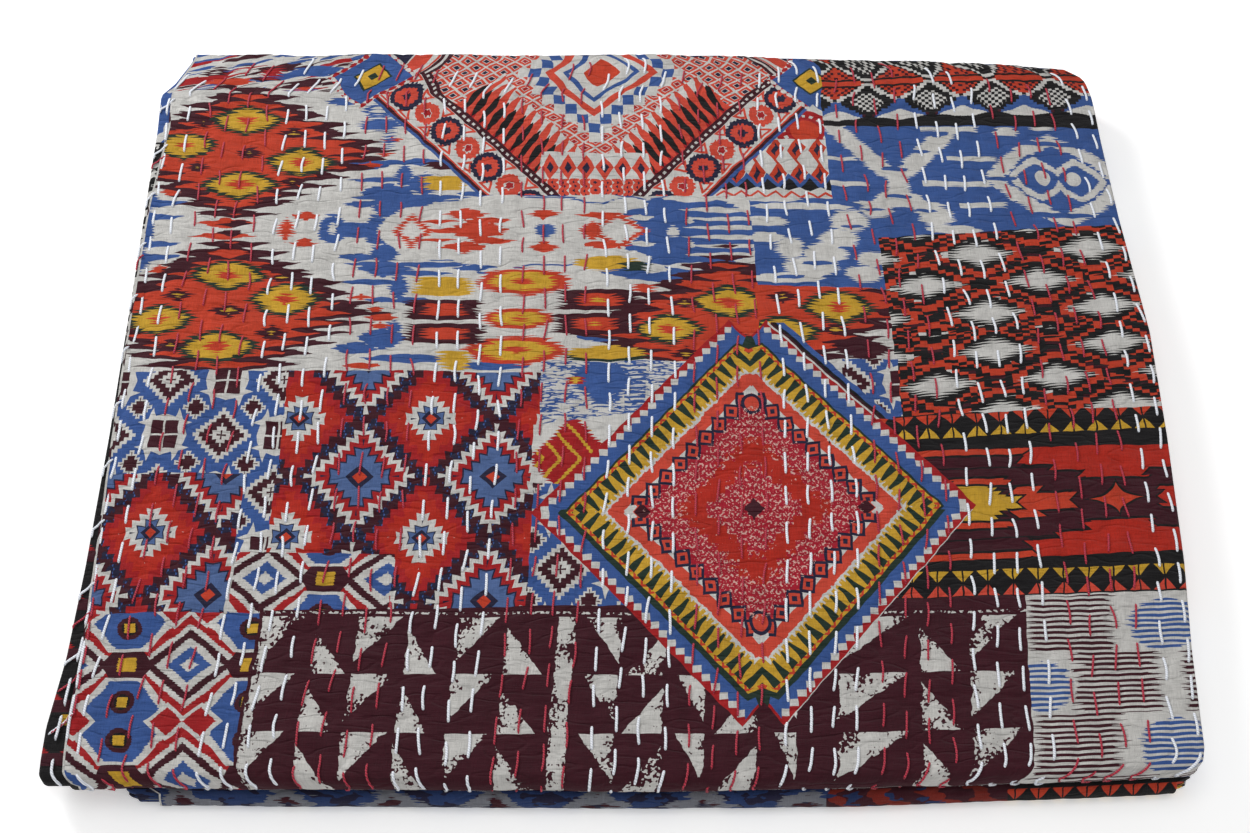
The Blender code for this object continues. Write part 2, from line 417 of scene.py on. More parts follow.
# %% Values and recipes
class Value:
    """A number for each point of a surface, as one socket of a recipe."""

    def __init__(self, recipe, socket):
        self.recipe = recipe
        self.socket = socket

    def math(self, operation, *others):
        sockets = dict(enumerate((self, *others)))
        return self.recipe.node("ShaderNodeMath", {"operation": operation}, sockets)

    def __add__(self, other):
        return self.math("ADD", other)

    __radd__ = __add__

    def __sub__(self, other):
        return self.math("SUBTRACT", other)

    def __rsub__(self, other):
        return self.recipe.node("ShaderNodeMath", {"operation": "SUBTRACT"}, {0: other, 1: self})

    def __mul__(self, other):
        return self.math("MULTIPLY", other)

    __rmul__ = __mul__

    def __truediv__(self, other):
        return self.math("DIVIDE", other)

    def __abs__(self):
        return self.math("ABSOLUTE")

    def __lt__(self, other):
        return self.math("LESS_THAN", other)

    def __gt__(self, other):
        return self.math("GREATER_THAN", other)

    def __and__(self, other):
        return self.math("MULTIPLY", other)

    def __or__(self, other):
        return self.math("MAXIMUM", other)

    def least(self, other):
        return self.math("MINIMUM", other)

    def most(self, other):
        return self.math("MAXIMUM", other)

    def fold(self, size):
        """0 up to size and back, again and again."""
        return self.math("PINGPONG", size)

    def wrap(self, half):
        """From -half up to half, again and again."""
        return self.math("WRAP", half, -half)

    def snap(self, step):
        return self.math("SNAP", step)

    def odd(self, size):
        """1 in every second stretch of this size, and else 0."""
        return (self / (2 * size)).math("FRACT") > 0.5


class Recipe:
    """A node tree, of a material or of a group that materials share, whose nodes are added from Python."""

    def __init__(self, tree, window=None):
        self.tree = tree
        self.window = window

    def node(self, kind, settings=None, sockets=None, output=0):
        node = self.tree.nodes.new(kind)
        for name, value in (settings or {}).items():
            setattr(node, name, value)
        self.feed(node, sockets or {})
        return Value(self, node.outputs[output]) if node.outputs else None

    def feed(self, node, sockets):
        """Links values to a node's sockets, and sets plain numbers and colours on them."""
        for name, value in sockets.items():
            if isinstance(value, Value):
                self.tree.links.new(value.socket, node.inputs[name])
            else:
                node.inputs[name].default_value = value

    def dye(self, ground, colour, mask):
        """The ground's colour, with another over it where the mask is 1."""
        return self.node("ShaderNodeMix", {"data_type": "RGBA"}, {0: mask, 6: ground, 7: colour}, 2)

    def rings(self, ground, size, *coats, within=None):
        """Coats as (edge, colour), one over another: each dyes what is smaller than its edge."""
        for edge, colour in coats:
            mask = size < edge
            ground = self.dye(ground, colour, mask if within is None else mask & within)
        return ground

    def noise(self, x, y, fine_x, fine_y, detail=1, seed=0):
        """Smooth noise around 0.5, with so many lumps to a millimetre each way."""
        at = self.node("ShaderNodeCombineXYZ", None, {0: x * fine_x, 1: y * fine_y + seed})
        settings = {"noise_dimensions": "2D"}
        return self.node("ShaderNodeTexNoise", settings, {"Vector": at, "Scale": 1, "Detail": detail})

    def vector(self, operation, first, second=(0, 0, 0), output=0):
        return self.node("ShaderNodeVectorMath", {"operation": operation}, {0: first, 1: second}, output)

    def shows(self, x, y, half_width, half_height):
        """Whether a form reaches into the part of the print that this recipe has to show."""
        if self.window is None:
            return True
        left, right, front, back = self.window
        wide = left - half_width < x < right + half_width
        return wide and front - half_height < y < back + half_height


def surface(name):
    """A new material, with a recipe for its nodes and its shader."""
    material = bpy.data.materials.new(name)
    material.use_nodes = True
    return material, Recipe(material.node_tree), material.node_tree.nodes["Principled BSDF"]


def group(name, inputs, outputs, window=None):
    """A new node group with its recipe and the values of its inputs. Its sockets are (name, kind)."""
    tree = bpy.data.node_groups.new(name, "ShaderNodeTree")
    for socket, kind in inputs:
        tree.interface.new_socket(socket, in_out="INPUT", socket_type=f"NodeSocket{kind}")
    for socket, kind in outputs:
        tree.interface.new_socket(socket, in_out="OUTPUT", socket_type=f"NodeSocket{kind}")
    r = Recipe(tree, window)
    return tree, r, [r.node("NodeGroupInput", None, None, place) for place in range(len(inputs))]


def ink(red, green, blue):
    """A colour as seen on a screen, from 0 to 255, as Blender's linear colour."""
    linear = []
    for part in (red, green, blue):
        part /= 255
        linear.append(part / 12.92 if part < 0.04045 else ((part + 0.055) / 1.055) ** 2.4)
    return (*linear, 1)


# %% [markdown]
# ## The dyes
#
# The print has a small set of colours, a little faded, as on soft washed cotton.

# %% Dyes
ECRU = ink(205, 203, 199)
ORANGE = ink(194, 62, 38)
BRICK = ink(178, 40, 26)
CORAL = ink(206, 72, 54)
PINK = ink(214, 170, 160)
RED = ink(164, 28, 32)
CRIMSON = ink(168, 26, 46)
MAROON = ink(62, 18, 30)
NAVY = ink(34, 32, 58)
COBALT = ink(57, 88, 150)
DENIM = ink(80, 104, 152)
MUSTARD = ink(202, 158, 48)
GREEN = ink(32, 50, 40)
BLACK = ink(22, 20, 22)
# Darker copies of cobalt, ecru and red: painted shade for the band at the lower front fold, under the
# overhang of the plies above.
SHADED_BLUE = ink(42, 62, 108)
DEEP_SHADED_BLUE = ink(36, 52, 94)
SHADED_ECRU = ink(122, 124, 132)
SHADED_RED = ink(126, 38, 28)

# %% [markdown]
# ## Motifs
#
# The face is printed like a patchwork of older cloths: ikats with feathered edges, flat-woven rugs with
# stepped edges, borders of triangles, and one large diamond over them. Each is drawn by its own painter,
# in millimetres, from sizes and short tables. These are patterns that many makers use, drawn anew. The
# plain numbers in a painter are such sizes and places in millimetres, or shares of a form's own size.
#
# Three helpers do most of the work. A `lozenge` measures how far a point is from a middle, so that a ring
# is a range of that measure. `teeth` shift the edges of an ikat sideways, thread by thread. `stepped`
# rounds a distance to whole steps, as a woven edge does.

# %% Helpers for motifs
# How far the feathers of a form can reach past it
FEATHERS_WIDE, FEATHERS_HIGH = 6, 3


def least(first, second):
    return first.least(second) if isinstance(first, Value) else np.minimum(first, second)


def most(first, second):
    return first.most(second) if isinstance(first, Value) else np.maximum(first, second)


def lozenge(x, y, half_width, half_height):
    return abs(x) / half_width + abs(y) / half_height


def stepped(distance, step):
    """A distance in whole steps. Python's own numbers, which only sort the faces, stay smooth."""
    return abs(distance).snap(step) + step / 2 if isinstance(distance, Value) else abs(distance)


def toothed(x, y, half_width, half_height, pitch, reach):
    """A lozenge's size, with teeth all along its sides."""
    side = math.hypot(half_width, half_height)
    x, y = abs(x) / half_width, abs(y) / half_height
    tooth = ((x - y) * (side / 2)).fold(pitch / 2) * (2 / pitch) - 0.5
    return x + y - tooth * (reach * side / (half_width * half_height))


def round_size(x, y, half_width, half_height):
    """Like a lozenge's size, for an oval."""
    x, y = x / half_width, y / half_height
    return (x * x + y * y).math("SQRT")


def teeth(r, x, y, reach, pitch=2.5):
    """Sideways spikes, like the edge of an ikat: 0 up to reach."""
    uneven = r.noise(x, y, 0.012, 0.22, 2)
    spikes = (y + uneven * 4).fold(pitch / 2) / (pitch / 2)
    return (spikes * 0.8 + uneven * 1.3 - 0.5) * reach


def chequers(x, y, size):
    """1 on every second square of a board, and else 0."""
    return abs((x / size).odd(1) - (y / size).odd(1)) < 0.5


def coated(forms, *coats):
    """The same forms, each with these coats."""
    return tuple((*form, *coats) for form in forms)


def moved(forms, dx, dy, way=1):
    """The same forms in another place, and turned over where way is -1."""
    return tuple((x + dx, way * y + dy, *rest) for x, y, *rest in forms)


def draw_forms(r, ground, x, y, spikes, forms, kind="lozenge"):
    """Forms with feathered sides: x, y, half width, half height, and coats as (share, colour).

    They are lozenges, blocks, ovals, or eyes, which are halfway between an oval and a lozenge.
    """
    place = r.node("ShaderNodeCombineXYZ", None, {0: x, 1: y, 2: spikes})
    for at_x, at_y, half_width, half_height, *coats in forms:
        if not r.shows(at_x, at_y, half_width + FEATHERS_WIDE, half_height + FEATHERS_HIGH):
            continue
        off = r.vector("ABSOLUTE", r.vector("SUBTRACT", place, (at_x, at_y, 0)))
        per_x, per_y = 1 / half_width, 1 / half_height
        if kind == "lozenge":
            size = r.vector("DOT_PRODUCT", off, (per_x, per_y, per_x), 1)
        elif kind == "block":
            across = r.vector("DOT_PRODUCT", off, (per_x, 0, per_x), 1)
            size = across.most(r.vector("DOT_PRODUCT", off, (0.12 * per_x, per_y, 0), 1))
        else:
            size = r.vector("LENGTH", r.vector("MULTIPLY", off, (per_x, per_y, 0)), output=1)
            if kind == "oval":
                size = size + spikes / half_width
            else:
                size = size * 0.5 + r.vector("DOT_PRODUCT", off, (0.5 * per_x, 0.5 * per_y, per_x), 1)
        ground = r.rings(ground, size, *coats)
    return ground


# %% Ikat garden, the large patch at the back left
EYE = ((1.0, GREEN), (0.79, MUSTARD), (0.38, ORANGE))
SMALL_EYE = ((1.0, MAROON), (0.42, MUSTARD))
SPIKED_BAR = ((1.0, MAROON), (0.60, ORANGE))
GOLD_BAR = ((1.0, ORANGE), (0.74, MUSTARD), (0.32, ORANGE))
MIRROR = 122
LARGE_LOZENGE = (0, 0, 119, 80, (1.0, MAROON), (0.82, ORANGE))
# On one large lozenge: x and y from its middle, half width, half height, and then the coats
EYES = coated((
    (-43, 6, 30, 16), (41, -10, 31, 18), (-1, 30, 34, 17), (0, -31, 33, 16),
), *EYE)
SMALL_EYES = coated((
    (-32, 28, 15, 7), (34, 18, 16, 8), (4, -1, 16, 8), (-32, -14, 15, 7), (37, -29, 14, 7),
), *SMALL_EYE)
# Smooth blue forms, and the white capsule that cuts into them. These lie around the mirror line.
BLUE_OVALS = (
    (-345, 0, 13, 26, (1.0, COBALT)),
    (-355, 2, 8, 10, (1.0, ECRU)),
    (-209, 0, 11, 16, (1.0, COBALT)),
    (-192, 0, 20, 8, (1.0, COBALT)),
    (-178, 0, 10, 17, (1.0, COBALT)),
    (-209, 1, 5, 7, (1.0, ECRU)),
    (38, 0, 52, 34, (1.0, COBALT)),
    (28, 0, 6, 7, (1.0, ECRU)),
    (-86, 0, 94, 29, (1.0, ECRU)),
    (-61, 0, 8, 8, (1.0, COBALT)),
)
LOOSE_EYES = coated((
    (-170, 28, 20, 10), (-187, 20, 18, 6), (-163, 37, 9, 9), (-152, 12, 34, 4.5), (-98, 7, 30, 4),
    (-24, 31, 20, 5), (-146, 164, 17, 13), (-162, 148, 28, 6), (-190, 182, 22, 5),
), (1.0, COBALT)) + coated(((-172, 46, 13, 5), (-182, 6, 16, 3)), (1.0, ORANGE))
# On both sides of the mirror line
MIRRORED_OVALS = coated((
    (-344, 26, 15, 14), (-334, 12, 24, 3.5), (-334, 24, 26, 3.5), (-172, 20, 13, 12), (-172, 34, 22, 9),
    (-161, 50, 9, 18), (-190, 24, 16, 4), (-150, 62, 20, 4), (-178, 46, 26, 3), (-176, 30, 26, 3),
    (-144, 30, 34, 3), (-148, 38, 26, 3), (-172, 62, 16, 3), (-110, 33, 18, 3), (18, 36, 46, 9),
), (1.0, COBALT))
# White tongues and drops in the blue at its right
WHITE_TONGUES = coated((
    (-2, 24, 16, 7), (12, 33, 14, 5), (6, 12, 11, 3), (70, 4, 38, 2.2), (70, 12, 34, 2.2),
    (62, 20, 30, 2.6), (44, 30, 26, 4), (40, 10, 4, 6),
), (1.0, ECRU))
MIRRORED_LOZENGES = coated((
    (-284, 6, 26, 5), (-241, 2, 9, 12), (-228, 12, 14, 6), (-325, 35, 11, 7), (-186, 60, 13, 4),
    (-172, 84, 12, 4), (-176, 70, 10, 4), (-117, 15, 20, 7), (-98, 9, 20, 4), (-136, 8, 20, 2.4),
    (-62, 15, 15, 6), (-20, 13, 22, 5),
), (1.0, ORANGE))
CENTRED_LOZENGES = (
    (-154, 0, 17, 19, (1.0, ORANGE), (0.70, ECRU)),
    (-128, 0, 20, 3, (1.0, ORANGE)),
    (-108, 0, 25, 14, (1.0, ORANGE)),
    (-28, 0, 12, 12, (1.0, ORANGE)),
    (-10, 0, 25, 19, (1.0, ORANGE), (0.76, ECRU)),
    (-27, 0, 9, 6, (1.0, ORANGE)),
)
BARS = (
    (-131, 73, 23, 8, (1.0, MUSTARD)),
    (-130, 53, 29, 9, *SPIKED_BAR),
    (-129, 33, 30, 9, *SPIKED_BAR),
    (-121, 11, 14, 8, (1.0, MUSTARD)),
    (-26, 62, 32, 9, *SPIKED_BAR, (0.24, MUSTARD)),
    (-29, 42, 32, 9, *SPIKED_BAR, (0.24, MUSTARD)),
    (-132, 165, 20, 7, (1.0, MUSTARD)),
    (6, 72, 12, 4, (1.0, ORANGE)),
    (0, 90, 14, 4, (1.0, GREEN)),
)
GOLD_OVALS = (
    (-76, 77, 36, 13, *GOLD_BAR),
    (-79, 46, 29, 10, *GOLD_BAR),
    (-81, 20, 38, 13, *GOLD_BAR),
    (-20, 93, 26, 8, (1.0, MUSTARD)),
    (-22, 15, 32, 7, (1.0, GREEN)),
    (-22, 18, 30, 7, (1.0, MUSTARD)),
    (-128, 181, 24, 5, (1.0, MAROON)),
    (-182, 233, 14, 9, (1.0, COBALT), (0.6, ECRU)),
    (-180, 220, 20, 8, (1.0, COBALT)),
    (-174, 205, 8, 12, (1.0, COBALT)),
    (-206, 244, 20, 5, (1.0, COBALT)),
    (-240, 256, 12, 4, (1.0, ORANGE)),
    (-300, 262, 22, 4, (1.0, ORANGE)),
    (-273, 272, 12, 9, (1.0, RED)),
    (-240, 274, 24, 6, (1.0, COBALT)),
    (-316, 272, 12, 6, (1.0, MAROON), (0.5, ECRU)),
)


def mirrored(forms):
    return moved(forms, 0, MIRROR) + moved(forms, 0, MIRROR, -1)


def smeared_ground(r, x, y):
    """The strip along the back, where the pattern runs together in slanting streaks."""
    u = x + y * 1.1
    streak = r.noise(u, y - x * 0.30, 0.014, 0.15, 2, 71)
    tint = r.noise(u, y - x * 0.30, 0.010, 0.06, 1, 17)
    ground = r.dye(ECRU, r.dye(COBALT, RED, tint > 0.55), streak > 0.55)
    return r.dye(ground, r.dye(COBALT, MAROON, tint > 0.47), streak < 0.42)


def corner_diamond(r, ground, x, y):
    """A yellow diamond in a blue one, with a stepped edge, at each end of the medallion."""
    size = lozenge(x, y, 34, 32)
    ground = r.dye(ground, r.dye(RED, ECRU, chequers(x, y, 4.4)), size < 1)
    ground = r.rings(ground, size, (0.86, COBALT), (0.44, GREEN), (0.38, MUSTARD), (0.12, GREEN))
    return ground


def ikat_garden(r, x, y):
    fine = teeth(r, x, y, 8, 2.4)
    long = teeth(r, x, y, 30, 8.6)
    wave = (x * 0.052).math("SINE") * 5 + (x * 0.12 + 1).math("SINE") * 3
    strand = abs(abs(y - MIRROR) - 31 - wave) + fine * 0.35
    ground = r.dye(ECRU, COBALT, (strand < 2.4) & (x > -160) & (x < 6))
    ground = r.dye(ground, smeared_ground(r, x, y), (y + fine * 0.5 > 256) & (x < -190))
    ground = draw_forms(r, ground, x, y, fine * 0.6, mirrored(MIRRORED_OVALS) + LOOSE_EYES, "eye")
    ground = draw_forms(r, ground, x, y, fine * 0.4, moved(BLUE_OVALS, 0, MIRROR), "oval")
    ground = draw_forms(r, ground, x, y, fine * 0.4, mirrored(WHITE_TONGUES), "eye")
    lozenges = mirrored(MIRRORED_LOZENGES) + moved(CENTRED_LOZENGES, 0, MIRROR)
    ground = draw_forms(r, ground, x, y, fine * 0.8, lozenges)
    large = moved((LARGE_LOZENGE,), -277, 194) + moved((LARGE_LOZENGE,), -278, 50)
    large += moved((LARGE_LOZENGE,), 64, 38)
    ground = draw_forms(r, ground, x, y, long, large)
    eyes = moved(EYES, -277, 194) + moved(EYES, -278, 51, -1) + moved(EYES, 64, 31)
    ground = draw_forms(r, ground, x, y, fine, eyes, "eye")
    small = moved(SMALL_EYES, -277, 194) + moved(SMALL_EYES, -278, 51, -1) + moved(SMALL_EYES, 64, 31)
    ground = draw_forms(r, ground, x, y, fine, small)
    ground = draw_forms(r, ground, x, y, fine, GOLD_OVALS, "oval")
    ground = draw_forms(r, ground, x, y, fine * 1.2, BARS, "block")
    return corner_diamond(r, ground, x + 196, y - 268)


def ikat_garden_cut(r, x, y):
    """Another piece of the same cloth, beside the seam at the large lozenge."""
    fine = teeth(r, x, y, 8, 2.4)
    ground = draw_forms(r, ECRU, x, y, teeth(r, x, y, 30, 8.6), moved((LARGE_LOZENGE,), 96, 62))
    ground = draw_forms(r, ground, x, y, fine, moved(EYES, 95, 67), "eye")
    return draw_forms(r, ground, x, y, fine, moved(SMALL_EYES, 95, 67) + ((150, 22, 26, 12, (1.0, MAROON)),))


# %% Medallion, at the back
# Columns: shift along the band, distance from its middle, and the coats of one row of round flowers
FLOWER_ROWS = (
    (-4.5, -1, ((19.5, NAVY), (13.5, CORAL), (5.0, NAVY))),
    (-39, 0, ((14.5, CORAL), (5.5, ECRU), (4.2, RED))),
)


MEDALLION_X, MEDALLION_Y = -25, 272
MEDALLION_SLIM = 0.88
MEDALLION_EDGE = 212


def medallion(r, x, y):
    p = abs(x - MEDALLION_X)
    q = MEDALLION_Y - y
    q_off = abs(q)
    far = p / MEDALLION_SLIM + q_off
    along = q - p / MEDALLION_SLIM
    rough = r.noise(x, y, 0.16, 0.16, 2) * 12 - 6
    # Petals in rows like scales, in coral, with a dark heart
    scale = lozenge(p.wrap(7.4), q.wrap(5.6), 7.4, 5.6)
    scale = scale.least(2 - scale)
    ground = r.dye(ECRU, CORAL, scale + rough * 0.02 < 0.84)
    ground = r.dye(ground, ECRU, scale < 0.44)
    ground = r.dye(ground, r.dye(RED, NAVY, (p > 62) & (q_off < 34)), scale < 0.34)
    # Long leaves that point from the band to the middle
    leaf_across = along - far * 0.19
    leaf = abs(leaf_across.wrap(6.6)) / 6.6 + ((far - 118 + rough) / 42).math("POWER", 2)
    black_leaf = abs((leaf_across + 6.6).wrap(6.6)) / 6.6 + ((far - 124 + rough) / 29).math("POWER", 2)
    fan = (abs(along + 8) < 74) & (far + rough > 86) & (far < 152)
    ground = r.dye(ground, r.dye(ECRU, RED, far + rough > 126), fan)
    ground = r.dye(ground, CORAL, fan & (leaf < 0.86))
    ground = r.dye(ground, BLACK, fan & (black_leaf < 0.66))
    # A row of dark-hearted lozenges over a dotted foot
    foot = (q > 78) & (p < (q - 78) * 0.2 + 38) & (far < 152)
    petal = lozenge((p + 6.5).wrap(6.5), q - 92, 6.5, 12)
    ground = r.dye(ground, ECRU, foot)
    ground = r.rings(ground, petal, (1.0, CORAL), (0.45, NAVY), within=foot)
    dots = lozenge(p.wrap(3.8), (q + p.odd(3.8) * 3.8).wrap(3.8), 3.8, 3.8)
    low = foot & (q > 103)
    ground = r.dye(ground, CORAL, low)
    ground = r.dye(ground, NAVY, low & (dots < 0.42))
    ground = r.dye(ground, ECRU, low & (dots > 1.5))
    # Stepped blocks around the middle, and rings in them
    ring = (p + 4.2).snap(8.4) / 8.4 + (q_off + 4.5).snap(9.0) / 9.0
    ground = r.rings(ground, ring, (7.5, ECRU), (6.5, COBALT), (5.5, ECRU))
    near = p + q_off
    ground = r.rings(ground, near, (43, CORAL), (36, ECRU), (29, COBALT), (24.5, ECRU))
    ground = r.dye(ground, ORANGE, near * 0.6 + (p * p + q * q).math("SQRT") * 0.4 < 14)
    # The band outside, with its flowers and small triangles
    band = far - 179
    beside = abs((along + 13.7).wrap(17.15))
    depth = (abs(band) - 8) * 0.72
    side = r.dye(ECRU, CORAL, (beside < depth) & (abs(band) < 22))
    side = r.dye(side, ECRU, (beside < depth - 3.6) & (abs(band) < 19.5))
    petals = (along * 0.9).math("SINE") * (band * 0.9).math("SINE") * 1.4
    for shift, lean, coats in FLOWER_ROWS:
        size = round_size((along + shift).wrap(34.3), band + lean, 1, 1) + petals
        side = r.rings(side, size, *coats)
    ground = r.dye(ground, side, far > 152)
    ground = r.dye(ground, MAROON, abs(far - 151.5) < 5)
    ground = r.dye(ground, ECRU, (along.fold(4) < 1.9) & (abs(far - 151.5) < 1.5))
    ground = r.dye(ground, CORAL, far > 203)
    ground = r.dye(ground, MAROON, far > 205)
    ground = r.dye(ground, COBALT, far > 208.5)
    ground = corner_diamond(r, ground, x - 134, y - 267)
    return corner_diamond(r, ground, x + 196, y - 268)


def fans(r, x, y):
    """Scallops over rows of petals and a row of dark teeth."""
    u = (x - 128).wrap(24)
    v = y - 217
    radius = round_size(u, v, 1, 0.9)
    row = (y - 177 + x.odd(7.5) * 4).wrap(12)
    petal = lozenge(x.wrap(7.5), row, 7.5, 13)
    ground = r.dye(ECRU, ORANGE, petal < 0.92)
    ground = r.dye(ground, NAVY, petal < 0.40)
    ground = r.dye(ground, ECRU, (y > 208) & (radius > 22))
    ground = r.dye(ground, r.dye(ECRU, COBALT, abs(u) > 34 - v), v > 14)
    scallop = v > -8
    ground = r.rings(ground, radius, (22, RED), (11, ORANGE), within=scallop)
    beads = (abs(radius - 16) < 1.4) & ((u.math("ARCTAN2", v) * 5).fold(1.0) < 0.45)
    ground = r.dye(ground, ECRU, beads & scallop)
    tooth = x.fold(7.5)
    ground = r.dye(ground, COBALT, (y < 177) & (tooth * 1.4 + 166 > y))
    ground = r.dye(ground, BLACK, (y < 174) & (tooth * 1.4 + 161 > y))
    ground = r.dye(ground, ECRU, y < 163 - tooth * 0.4)
    return r.dye(ground, CORAL, abs(y - 154 - x.fold(6) * 0.8) < 1.1)


# %% Border of checked diamonds, at the back right
def checked_diamonds(r, x, y):
    y = y - (x - 176) * 0.085
    across = stepped((x - 176).wrap(23.2), 2.4)
    between = stepped((x - 199.2).wrap(23.2), 2.4)
    low = across * 0.82 + stepped(y - 247, 2.4)
    high = across * 0.82 + stepped(y - 286, 2.4)
    checker = r.dye(BLACK, ECRU, chequers(x, y, 2.6))
    vein = low.least(high).fold(2.6) < 0.9
    ground = r.dye(ORANGE, MAROON, vein & (abs(y - 267) > 2.2))
    ground = r.dye(ground, BLACK, abs(abs(y - 267) - 3.2) < 0.9)
    ground = r.rings(ground, high, (21, BLACK), (19.5, ECRU), (16.5, BLACK), (10.5, checker), (3, BLACK))
    upper_part = y > 239
    ground = r.rings(ground, low, (22.5, BLACK), (21, ECRU), (17.2, BLACK), within=upper_part)
    ground = r.dye(ground, COBALT, (low > 17) & (y < 246 + (across - 12) * 0.3))
    ground = r.dye(ground, BLACK, low < 16)
    ground = r.dye(ground, checker, low < 11.5)
    ground = r.dye(ground, ECRU, (y < 237 - between * 0.3 + across * 0.12) & (y > 226))
    return r.dye(ground, BLACK, y < 229 + between * 0.18)


# %% Blue and white ikat, under the border
# Columns: x, y, half width, half height, of the white bands at the front left and their slits
WHITE_BANDS = coated((
    (152, 133, 16, 13), (143, 118, 16, 10), (132, 104, 18, 10), (121, 92, 21, 10), (104, 82, 28, 5),
    (108, 108, 12, 12), (92, 118, 17, 5), (120, 146, 38, 3.4), (95, 153, 28, 3.4), (92, 132, 20, 5),
    (166, 98, 15, 9), (157, 86, 15, 9), (172, 143, 14, 9), (190, 150, 34, 4), (214, 140, 15, 11),
    (224, 127, 22, 4.5), (274, 221, 11, 5), (300, 228, 11, 5),
), (1.0, ECRU))
BLUE_SLITS = coated((
    (154, 128, 9, 1.8), (126, 95, 12, 2.6), (106, 83, 12, 2.0), (207, 144, 10, 1.8),
    (170, 144, 10, 1.6), (172, 92, 8, 3.0), (190, 183, 11, 2.4), (190, 157, 11, 2.0),
    (208, 200, 10, 2.0), (224, 217, 10, 3.0), (296, 142, 34, 2.4), (302, 211, 36, 2.6),
    (264, 175, 14, 2.0),
), (1.0, COBALT))
# Columns: from x, to x, middle y, half height, of the plain white bars
WHITE_BARS = (
    (140, 168, 168, 3.0),
    (140, 162, 191, 2.6),
    (212, 252, 222, 2.8),
    (228, 262, 194, 2.6),
    (208, 256, 170, 3.2),
    (232, 264, 150, 3.0),
)


def cobalt_ikat(r, x, y):
    fine = teeth(r, x, y, 5, 2.0)
    up = abs(y - 168)
    side = abs(x - 190)
    arm = abs(side - 7 - (up - 12) * 0.85) + fine * 0.9
    ground = r.dye(COBALT, ECRU, (arm < 11.5) & (up > 8) & (y > 140) & (y < 223))
    ground = r.dye(ground, ECRU, (side + fine < 10) & (up < 16))
    for left, right, middle, half in WHITE_BARS:
        bar = (abs(y - middle) + fine * 0.3 < half) & (x > left) & (x + fine < right + 3)
        ground = r.dye(ground, ECRU, bar)
    eye = (round_size(x - 305, y - 176, 52, 44) + lozenge(x - 305, y - 176, 52, 44)) * 0.5
    ground = r.dye(ground, ECRU, eye + fine / 50 < 1.04)
    ground = r.dye(ground, COBALT, eye + fine / 90 < 0.77)
    twin = round_size(abs(x - 305) - 14, y - 176, 21, 21) * 0.5 + fine / 60
    twin = twin + lozenge(abs(x - 305) - 14, y - 176, 21, 21) * 0.5
    ground = r.rings(ground, twin, (1.04, ECRU), (0.76, COBALT))
    ground = r.dye(ground, ECRU, round_size(abs(x - 305) - 11, y - 177, 5.5, 7) < 1)
    fringe = r.noise(x, y, 0.03, 0.34, 1, 44)
    ground = r.dye(ground, ECRU, (fringe > 0.56) & (abs(eye - 0.86) < 0.16))
    ground = draw_forms(r, ground, x, y, fine, WHITE_BANDS, "oval")
    return draw_forms(r, ground, x, y, fine * 0.5, BLUE_SLITS, "oval")


# %% Striped lozenges, at the right
def striped_lozenges(r, x, y):
    y = y - (x - 170) * 0.10
    up = abs(y - 31)
    shreds = r.noise(x, y, 0.03, 0.8, 1, 9)
    dashes = r.noise(x, y, 0.03, 0.20, 1, 33)
    spikes = y.fold(1.1) * 13 + shreds * 12 - 9
    column = (x - 237).wrap(39.5)
    other = (x - 197.5).wrap(39.5)
    near = (up - 16).wrap(25.7)
    far = (up - 41.7).wrap(25.7)
    first = (abs(column) + spikes) / 27 + abs(near) / 10.5
    second = (abs(other) + spikes) / 27 + abs(far) / 10.5
    net = (stepped(column, 5) / 39.5 + stepped(near, 2.6) / 25.7).least(
        stepped(other, 5) / 39.5 + stepped(far, 2.6) / 25.7
    )
    ground = r.dye(BLACK, ORANGE, (net > 0.71) & (net < 0.85) & (dashes > 0.32))
    ground = r.dye(ground, ECRU, (net > 0.62) & (net < 0.67) & (dashes < 0.38))
    ground = r.dye(ground, ORANGE, (net > 0.96) & (dashes > 0.55))
    ground = r.dye(ground, MAROON, (net > 0.90) & (net < 0.95) & (dashes < 0.45))
    return r.dye(ground, ECRU, (first < 1) | (second < 1))


# %% Border of triangles, and the stepped arrows between two of them
def triangle_border(r, x, y, upper, lower):
    """A strip 22 mm high around y = 0: dark diamonds between two rows of triangles."""
    across = (x - 180).wrap(7.85)
    ground = r.dye(lower, upper, y > 0)
    ground = r.dye(ground, BLACK, lozenge(across, y, 8.4, 10.2) < 1)
    ground = r.dye(ground, BLACK, abs(across) > 7.3)
    return r.dye(ground, BLACK, abs(y) > 9)


def upper_triangles(r, x, y):
    return triangle_border(r, x, y + 42 - (x - 170) * 0.065, ORANGE, MUSTARD)


def lower_triangles(r, x, y):
    return triangle_border(r, x, y + 158 - (x - 170) * 0.02, MUSTARD, CORAL)


# Columns: nearest to and furthest from the middle line, left, right
BRICK_BLOCKS = ((28.5, 41, 243, 400), (23.5, 29, 263, 400), (16.5, 24, 281, 322), (-1, 8, 331, 400))
ORANGE_BLOCKS = ((36.5, 41, 150, 246), (13.8, 18.4, 196, 233), (-1, 6.2, 236, 274), (-1, 11.5, 236, 253))
YELLOW_BLOCKS = ((-1, 4.4, 196, 240), (-1, 8.6, 196, 229), (-1, 12.6, 196, 223))


